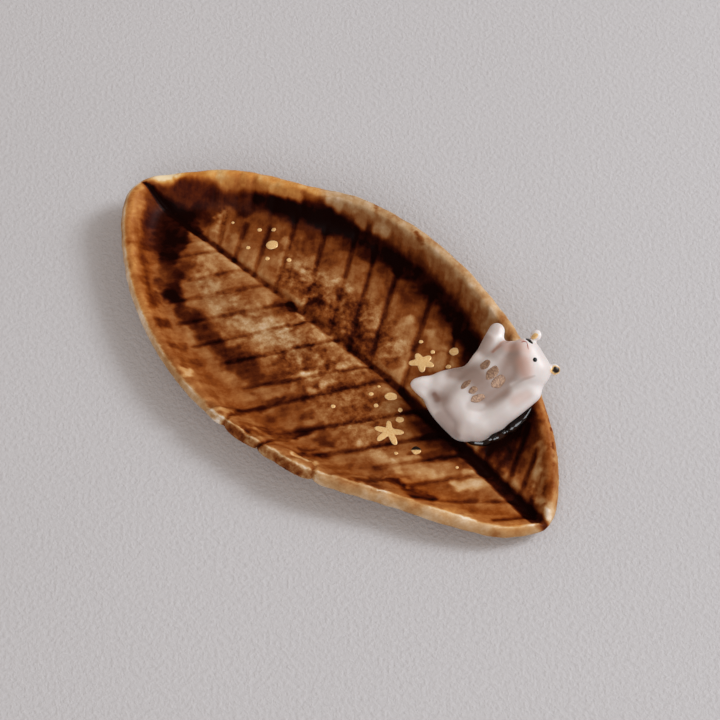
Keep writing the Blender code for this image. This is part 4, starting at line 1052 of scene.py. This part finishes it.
to_bear = BEAR_FRAME.inverted()
figure = places_of(bear_mesh) @ np.array(to_bear.to_3x3()).T + np.array(to_bear.translation)
across = figure @ np.array(FRONT_ACROSS) / MM
up = figure @ np.array(FRONT_UP) / MM
forward = normals_of(bear_mesh) @ np.array(to_bear.to_3x3()).T @ np.array(FRONT)
to_front = smoothstep(*FRONT_EDGE, forward)
seen = smoothstep(*SEEN_EDGE, forward)
dish_tree = tree_of(dish_mesh)
gap = np.array([dish_tree.find_nearest(v.co)[3] for v in bear_mesh.vertices]) / MM
creep = CREEP_DEPTH * smoothstep(*CREEP_GAP, gap + CREEP_WAVER * waver(across, up, CREEP_WAVER_SIZE, 12))
store(bear_mesh, "mauve_shade", painted(0, MAUVE_SHADE_STROKES, across, up) * to_front)
store(bear_mesh, "pink", painted(0, PINK_STROKES, across, up) * to_front)
store(bear_mesh, "brown_shade_and_glaze", np.maximum(painted(0, BROWN_SHADE_STROKES, across, up) * seen, creep))
print("figure is", round(float(np.ptp(across)), 1), "mm across and", round(float(np.ptp(up)), 1), "mm up")

# %% [markdown]
# ## Material: white porcelain
# Porcelain is a fine, slightly see-through white body. Its subsurface light softens the creases,
# and the glaze over it gives a quiet gloss.

# %% Porcelain material
BODY_CLOUDS = 5.0 * MM
LIGHT_REACH = 1.0 * MM

porcelain, tree, shader = new_material("soft white porcelain")
place = add_node(tree, "TexCoord").outputs["Object"]
cloudy = add_node(tree, "TexNoise", {"Vector": place, "Scale": 1 / BODY_CLOUDS, "Detail": 3.0})
tint = add_node(tree, "ValToRGB", {"Fac": cloudy}, [(0.3, "#E2DAD8"), (0.7, "#EAE4E2")])
# The first tint is painted shade, the brown is painted shade and the glaze by the dish, and the pink is blush
# with a little painted shade
for name, hex_colour in (("mauve_shade", "#A0877C"), ("pink", "#D3A391"), ("brown_shade_and_glaze", "#7A4626")):
    amount = add_node(tree, "Attribute", attribute_name=name).outputs["Fac"]
    tint = add_node(tree, "Mix", {0: amount, 6: tint, 7: linear(hex_colour)}, data_type="RGBA").outputs[2]
wire(tree, shader, {"Base Color": tint, "Roughness": 0.42, "IOR": 1.5, "Subsurface Weight": 0.20,
                    "Subsurface Radius": (1.0, 0.6, 0.45), "Subsurface Scale": LIGHT_REACH})

bear_mesh.materials.clear()
bear_mesh.materials.append(porcelain)
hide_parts("bear_torso", "bear_head", "bear_ear_left", "bear_ear_right", "bear_arm_left",
            "bear_arm_right", "bear_leg_left", "bear_leg_right")
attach(bear, "root")

# %% [markdown]
# ## Material: gold lustre, dark glaze and black underglaze
# Lustre is a thin film of real gold, fired on at a low heat. Brushed by hand it is bright but
# satin, so it shows a flat warm yellow rather than a mirror, and its metallic value is held low.
# On the figure's belly the gold is a darker copy, painted shade for the shaded belly, and one dot
# and the left ear carry a painted dark reflection. The dark glaze is a thick bead of the dish's own
# brown: black, with sharp white glints, which its high IOR brightens. The face is underglaze.

# %% Gold, shaded gold, black and dark glaze
BRUSH_GRAIN = 0.35 * MM
ROUGH_SPREAD = 0.15
GLAZE_CLOUDS = 2.0 * MM


def lustre(name, low, high, metallic, rough):
    """A brushed metal film: two tints, how metallic it is, and its roughness."""
    made, tree, shader = new_material(name)
    place = add_node(tree, "TexCoord").outputs["Object"]
    brushed = add_node(tree, "TexNoise", {"Vector": place, "Scale": 1 / BRUSH_GRAIN, "Detail": 3.0,
                                          "Roughness": 0.6})
    tint = add_node(tree, "ValToRGB", {"Fac": brushed}, [(0.35, low), (0.65, high)])
    gloss = add_node(tree, "MapRange", {"Value": brushed, "To Min": rough, "To Max": rough + ROUGH_SPREAD})
    painted_dark_reflection = add_node(tree, "Attribute", attribute_name="painted_dark_reflection").outputs["Fac"]
    # Where the stored value is high the lustre shows a painted dark reflection
    mixed = add_node(tree, "Mix", {0: painted_dark_reflection, 6: tint, 7: linear("#1C0F08")}, data_type="RGBA").outputs[2]
    wire(tree, shader, {"Base Color": mixed, "Roughness": gloss, "Metallic": metallic})
    return made


gold = lustre("satin gold lustre", "#EFBA76", "#FCD79A", 0.20, 0.28)
# A darker copy of the gold: painted shade for the spots on the shaded belly
shaded_gold = lustre("gold lustre in painted shade", "#876757", "#CBA587", 0.25, 0.35)

black, tree, shader = new_material("black underglaze")
wire(tree, shader, {"Base Color": linear("#060505"), "Roughness": 0.35, "Specular IOR Level": 0.3})

mouth_red, tree, shader = new_material("iron red underglaze")
wire(tree, shader, {"Base Color": linear("#A85A48"), "Roughness": 0.4})

dark_glaze, tree, shader = new_material("pooled dark glaze")
place = add_node(tree, "TexCoord").outputs["Object"]
thick = add_node(tree, "TexNoise", {"Vector": place, "Scale": 1 / GLAZE_CLOUDS, "Detail": 4.0})
tint = add_node(tree, "ValToRGB", {"Fac": thick}, [(0.45, "#090302"), (0.80, "#2E1206")])
wire(tree, shader, {"Base Color": tint, "Roughness": 0.03, "IOR": 1.8})

# %% [markdown]
# ## Brushed patches
# A patch of lustre follows the surface it was brushed on. Each one starts as a unit ball. Its
# equator becomes the outline of the patch, its upper half is laid on the surface with a rounded
# edge, and its lower half is sunk just under it, so every patch is a closed thin skin.

# %% A patch laid on a surface
BALL_ROWS = 14
RAY_START = Vector((0, 0, 40 * MM))
EDGE_ROUNDING = 0.6
SUNK_SHARE = 0.6
SUNK_LEAST = 0.01
STAR_STEPS = 720
ARM_TAPER = 2.2
# How far each way a brushed line is looked along for its direction
LOOK_ALONG = 0.15


def patch(name, outline, ground, thick, segments, look, replaced, painted_dark_reflection=None):
    """outline(a, b) maps the unit disc to plan millimetres. The ground is the frame of the plan, which
    looks along -Z, and the tree of the surface. The look is a material and a slot name, which is not used."""
    frame_of, tree = ground
    material, slot = look
    bm = bmesh.new()
    bmesh.ops.create_uvsphere(bm, u_segments=segments, v_segments=BALL_ROWS, radius=1)
    made = object_from(bm, name)
    mesh = made.data
    ball = places_of(mesh)
    plan_x, plan_y = outline(ball[:, 0], ball[:, 1])
    down = -(frame_of.to_3x3() @ Vector((0, 0, 1)))
    laid = np.empty_like(ball)
    middle = Vector((plan_x.mean() * MM, plan_y.mean() * MM, 0))
    reach = tree.ray_cast(frame_of @ (middle + RAY_START), down)[3]
    for index, (a, b, height) in enumerate(zip(plan_x, plan_y, ball[:, 2])):
        start = frame_of @ (Vector((a * MM, b * MM, 0)) + RAY_START)
        place, normal, _, _ = tree.ray_cast(start, down)
        if place is None:
            place, normal, _, _ = tree.find_nearest(start + down * reach)
        if height > 0:
            lift = thick * height ** EDGE_ROUNDING
        else:
            lift = SUNK_SHARE * thick * height - SUNK_LEAST
        laid[index] = place + normal * lift * MM
    mesh.vertices.foreach_set("co", laid.ravel())
    mesh.update()
    mesh.shade_smooth()
    if painted_dark_reflection is not None:
        store(mesh, "painted_dark_reflection", painted_dark_reflection(ball[:, 0], ball[:, 1]))
    mesh.materials.append(material)
    if replaced:
        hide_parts(replaced)
    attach(made, "root")


def blob(x, y, half_long, half_short, turn=0.0, seed=0, rough=0.06):
    """An uneven oval around a centre."""
    rng = np.random.default_rng(seed)
    waves = [(count, rng.uniform(0, tau), rng.uniform(0.5, 1.0) * rough) for count in (2, 3, 4, 5)]

    def outline(a, b):
        angle = np.arctan2(b, a)
        reach = 1 + sum(size * np.sin(count * angle + phase) for count, phase, size in waves)
        u, v = a * half_long * reach, b * half_short * reach
        return x + u * np.cos(turn) - v * np.sin(turn), y + u * np.sin(turn) + v * np.cos(turn)
    return outline


def star(x, y, middle, arms, sharp):
    """A star with its arms given as (turn in degrees, length). Sharp is an arm's half angle in degrees."""
    turns = np.radians(np.arange(STAR_STEPS) * 360 / STAR_STEPS)
    reach = np.full(STAR_STEPS, middle, float)
    for turn, length in arms:
        off = np.abs((turns - radians(turn) + np.pi) % tau - np.pi)
        reach = np.maximum(reach, middle + (length - middle) * np.exp(-(off / radians(sharp)) ** ARM_TAPER))

    def outline(a, b):
        step = np.degrees(np.arctan2(b, a)) % 360 * (STAR_STEPS / 360)
        length = np.interp(step, np.arange(STAR_STEPS + 1), np.append(reach, reach[0]))
        return x + a * length, y + b * length
    return outline


def brushed_line(path, half_width):
    """A tapering stroke of the brush along a path."""
    path = np.array(path, float)
    walked = np.concatenate([[0], np.cumsum(np.hypot(*np.diff(path, axis=0).T))])

    def outline(a, b):
        way = (a + 1) / 2 * walked[-1]
        x, y = np.interp(way, walked, path[:, 0]), np.interp(way, walked, path[:, 1])
        ahead, behind = np.minimum(way + LOOK_ALONG, walked[-1]), np.maximum(way - LOOK_ALONG, 0)
        dx = np.interp(ahead, walked, path[:, 0]) - np.interp(behind, walked, path[:, 0])
        dy = np.interp(ahead, walked, path[:, 1]) - np.interp(behind, walked, path[:, 1])
        size = np.maximum(np.hypot(dx, dy), 1e-9)
        return x - dy / size * b * half_width, y + dx / size * b * half_width
    return outline


# %% Gold stars and dots on the dish
# A dot has a place and two half sizes; a star a place, a middle, its arms and their half angle
LUSTRE_THICK = 0.15
DOT_SEGMENTS = 48
STAR_SEGMENTS = 180
DOT_UNEVEN = 0.03
DOTS = ((-40.5, 8.7, 0.34, 0.3), (-34.8, 11.4, 0.5, 0.44), (-32.6, 13.6, 0.5, 0.44),
        (-30, 10.5, 1.35, 1.18), (-33.2, 6.3, 0.5, 0.42), (-28.1, 7.2, 0.5, 0.48),
        (-24.5, 10.3, 0.54, 0.5), (10.8, 14.9, 0.46, 0.42), (14.4, 14.7, 0.5, 0.46), (17.5, 18, 1, 0.98),
        (19.2, 14.4, 0.58, 0.52), (12.1, 0.6, 0.34, 0.3), (12.2, -1.9, 0.52, 0.42),
        (15.6, 0.6, 1.35, 0.95), (14.9, -3.2, 0.5, 0.46), (8.6, -9.6, 0.5, 0.44), (19.2, -0.4, 0.48, 0.46),
        (20.8, -2.2, 0.86, 0.72), (28.3, -5.2, 0.98, 0.94), (25.8, -8.6, 0.4, 0.34),
        (37.1, -2.3, 0.34, 0.3))
STARS = ((14.4, 11.2, 1.25, ((225.5, 2.75), (159.7, 2.5), (78.7, 2.5), (24, 2.8), (316.7, 2.55)), 25),
         (21.2, -5.8, 1.15, ((136.3, 2.65), (207.9, 3.2), (39.4, 3.05), (264, 3.3), (338.7, 3.35)), 20))
LEAF_TURN = radians(44.1)
# One dot has a painted dark reflection above this edge
DARK_REFLECTION_DOT = 19
DARK_REFLECTION_EDGE = (-0.10, 0.15)

on_dish = (Matrix.Identity(4), dish_tree)
gold_look = (gold, "gold_lustre")
for number, (dot_x, dot_y, half_long, half_short) in enumerate(DOTS, 1):
    outline = blob(dot_x, dot_y, half_long, half_short, LEAF_TURN, number, DOT_UNEVEN)
    painted_dark_reflection = (lambda a, b: smoothstep(*DARK_REFLECTION_EDGE, b)) if number == DARK_REFLECTION_DOT else None
    patch(f"lustre_dot_{number:02}", outline, on_dish, LUSTRE_THICK, DOT_SEGMENTS, gold_look,
          f"gold_dot_{number:02}", painted_dark_reflection)
for number, (star_x, star_y, middle, arms, sharp) in enumerate(STARS, 1):
    patch(f"lustre_star_{number}", star(star_x, star_y, middle, arms, sharp), on_dish, LUSTRE_THICK,
          STAR_SEGMENTS, gold_look, f"gold_star_{number}")
print("gold marks:", len(DOTS) + len(STARS))

# %% The face, the belly and the ears
# Places on the figure as seen from its front, in millimetres, half sizes and a turn
MARK_SEGMENTS = 32
MARK_THICK = 0.10
SPOT_THICK = 0.07
SPOT_UNEVEN = 0.035
SPOTS = ((0.83, 9.56, 1.25, 0.72, 40), (2.19, 7.90, 1.70, 0.98, 48), (3.43, 6.12, 1.70, 1.10, 42),
         (-3.11, 5.54, 1.30, 0.55, 40), (-1.66, 4.38, 1.02, 0.70, 35), (-0.71, 2.73, 1.55, 0.80, 16))
EYE_HALF = 0.45
EYE_LEFT = (10.72, 10.58)
# This eye is on the side of the head, so its place and the way it looks are in space
EYE_RIGHT = Vector((33.1 * MM, 24.2 * MM, 15.6 * MM))
EYE_RIGHT_FACING = Vector((0.402, 0.909, -0.037)).normalized()
NOSE = ((9.10, 15.00), (9.85, 14.40), (10.40, 13.85))
NOSE_HALF = 0.28
NOSE_THICK = 0.12
MOUTH_LINE = ((8.00, 14.15), (8.7, 14.30), (9.23, 14.15))
MOUTH_FOLD = ((9.15, 14.2), (9.30, 13.4), (9.40, 12.65))
MOUTH_HALF = 0.09
MOUTH_THICK = 0.04
EAR_LEFT = (15.11, 8.45, 1.02, 0.95, 0.4)
EAR_RIGHT = (10.92, 15.36, 0.82, 0.50, radians(45))
EAR_RIGHT_THICK = 0.08
EAR_UNEVEN = 0.05
# The gold in the left ear has a painted dark reflection inside a ring, a little off its middle
EAR_RING = (0.80, 0.62)
EAR_RING_MIDDLE = (0.10, 0.02)


def looking(across, up, towards):
    """A plan on the figure with the given axes, in the bear's frame."""
    return BEAR_FRAME @ Matrix((across, up, towards)).transposed().to_4x4()


bear_tree = tree_of(bear_mesh)
on_front = (looking(FRONT_ACROSS, FRONT_UP, FRONT), bear_tree)
black_look = (black, "black_underglaze")
red_look = (mouth_red, "black_underglaze")
for number, (spot_x, spot_y, half_long, half_short, turn) in enumerate(SPOTS, 1):
    outline = blob(spot_x, spot_y, half_long, half_short, radians(turn), number + 40, SPOT_UNEVEN)
    patch(f"shaded_gold_spot_{number}", outline, on_front, SPOT_THICK, DOT_SEGMENTS, (shaded_gold, "gold_lustre"),
          f"belly_spot_{number}")

side_across = Vector((0.0, 0.0, 1.0)).cross(EYE_RIGHT_FACING).normalized()
side_up = EYE_RIGHT_FACING.cross(side_across)
on_side = (looking(side_across, side_up, EYE_RIGHT_FACING), bear_tree)
right_eye = to_bear @ EYE_RIGHT
right_outline = blob(right_eye @ side_across / MM, right_eye @ side_up / MM, EYE_HALF, EYE_HALF)
patch("eye_left", blob(*EYE_LEFT, EYE_HALF, EYE_HALF, rough=0), on_front, MARK_THICK, MARK_SEGMENTS,
      black_look, "bear_eye_left")
patch("eye_right", right_outline, on_side, MARK_THICK, MARK_SEGMENTS, black_look, "bear_eye_right")
patch("nose", brushed_line(NOSE, NOSE_HALF), on_front, NOSE_THICK, MARK_SEGMENTS, black_look, "bear_nose")
for name, path in (("mouth_line", MOUTH_LINE), ("mouth_fold", MOUTH_FOLD)):
    patch(name, brushed_line(path, MOUTH_HALF), on_front, MOUTH_THICK, MARK_SEGMENTS, red_look, None)
ring_x, ring_y = EAR_RING_MIDDLE
patch("ear_lustre_left", blob(*EAR_LEFT, 61, EAR_UNEVEN), on_front, MARK_THICK, DOT_SEGMENTS, gold_look,
      "ear_gold_left", lambda a, b: smoothstep(*EAR_RING, np.hypot(a - ring_x, b - ring_y)))
patch("ear_lustre_right", blob(*EAR_RIGHT, 62, DOT_UNEVEN), on_front, EAR_RIGHT_THICK, DOT_SEGMENTS,
      gold_look, "ear_gold_right")
print("spots on the belly:", len(SPOTS))

# %% [markdown]
# ## The bead of dark glaze
# Glaze ran into the gap between the figure and the dish and froze there as a lumpy, glassy bead
# with three swellings. It is a chain of drops along the gap, remeshed to one skin.

# %% Glaze bead: places and radii in millimetres
BEAD = ((33.9, 4.3, 2.9, 0.55), (35.1, 4.8, 2.9, 1.15), (36.4, 5.6, 3, 1.25), (37.2, 6.6, 3.1, 1.1),
        (37.6, 7.6, 3.1, 0.75), (38.1, 8.8, 3.2, 1.1), (38.4, 9.8, 3.4, 1.15), (38.7, 10.8, 3.6, 0.75),
        (39.1, 12.1, 4.1, 1.1), (39.5, 13.5, 4.7, 1.15), (40.1, 15.1, 6.3, 0.85), (40.1, 16.7, 7.8, 0.5))
DROP_STEPS = 12
LUMP_SHARE = 0.05
LUMP_BEATS = (0.37, 0.17)
BEAD_CELL = 0.2 * MM
BEAD_SMOOTHING = 10

bm = bmesh.new()
for index, drop in enumerate(curve_through(BEAD, DROP_STEPS)):
    lump = 1 + LUMP_SHARE * np.sin(index * LUMP_BEATS[0]) * np.sin(index * LUMP_BEATS[1] + 1)
    add_ball(bm, float(drop[3]) * lump * MM, Matrix.Translation(Vector(drop[:3]) * MM))
bead = object_from(bm, "glaze_bead")
bead_mesh = even_cells(bead, BEAD_CELL, BEAD_SMOOTHING)
bead_mesh.materials.clear()
bead_mesh.materials.append(dark_glaze)
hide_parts("glaze_pool")
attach(bead, "root")
print("bead faces:", len(bead_mesh.polygons))
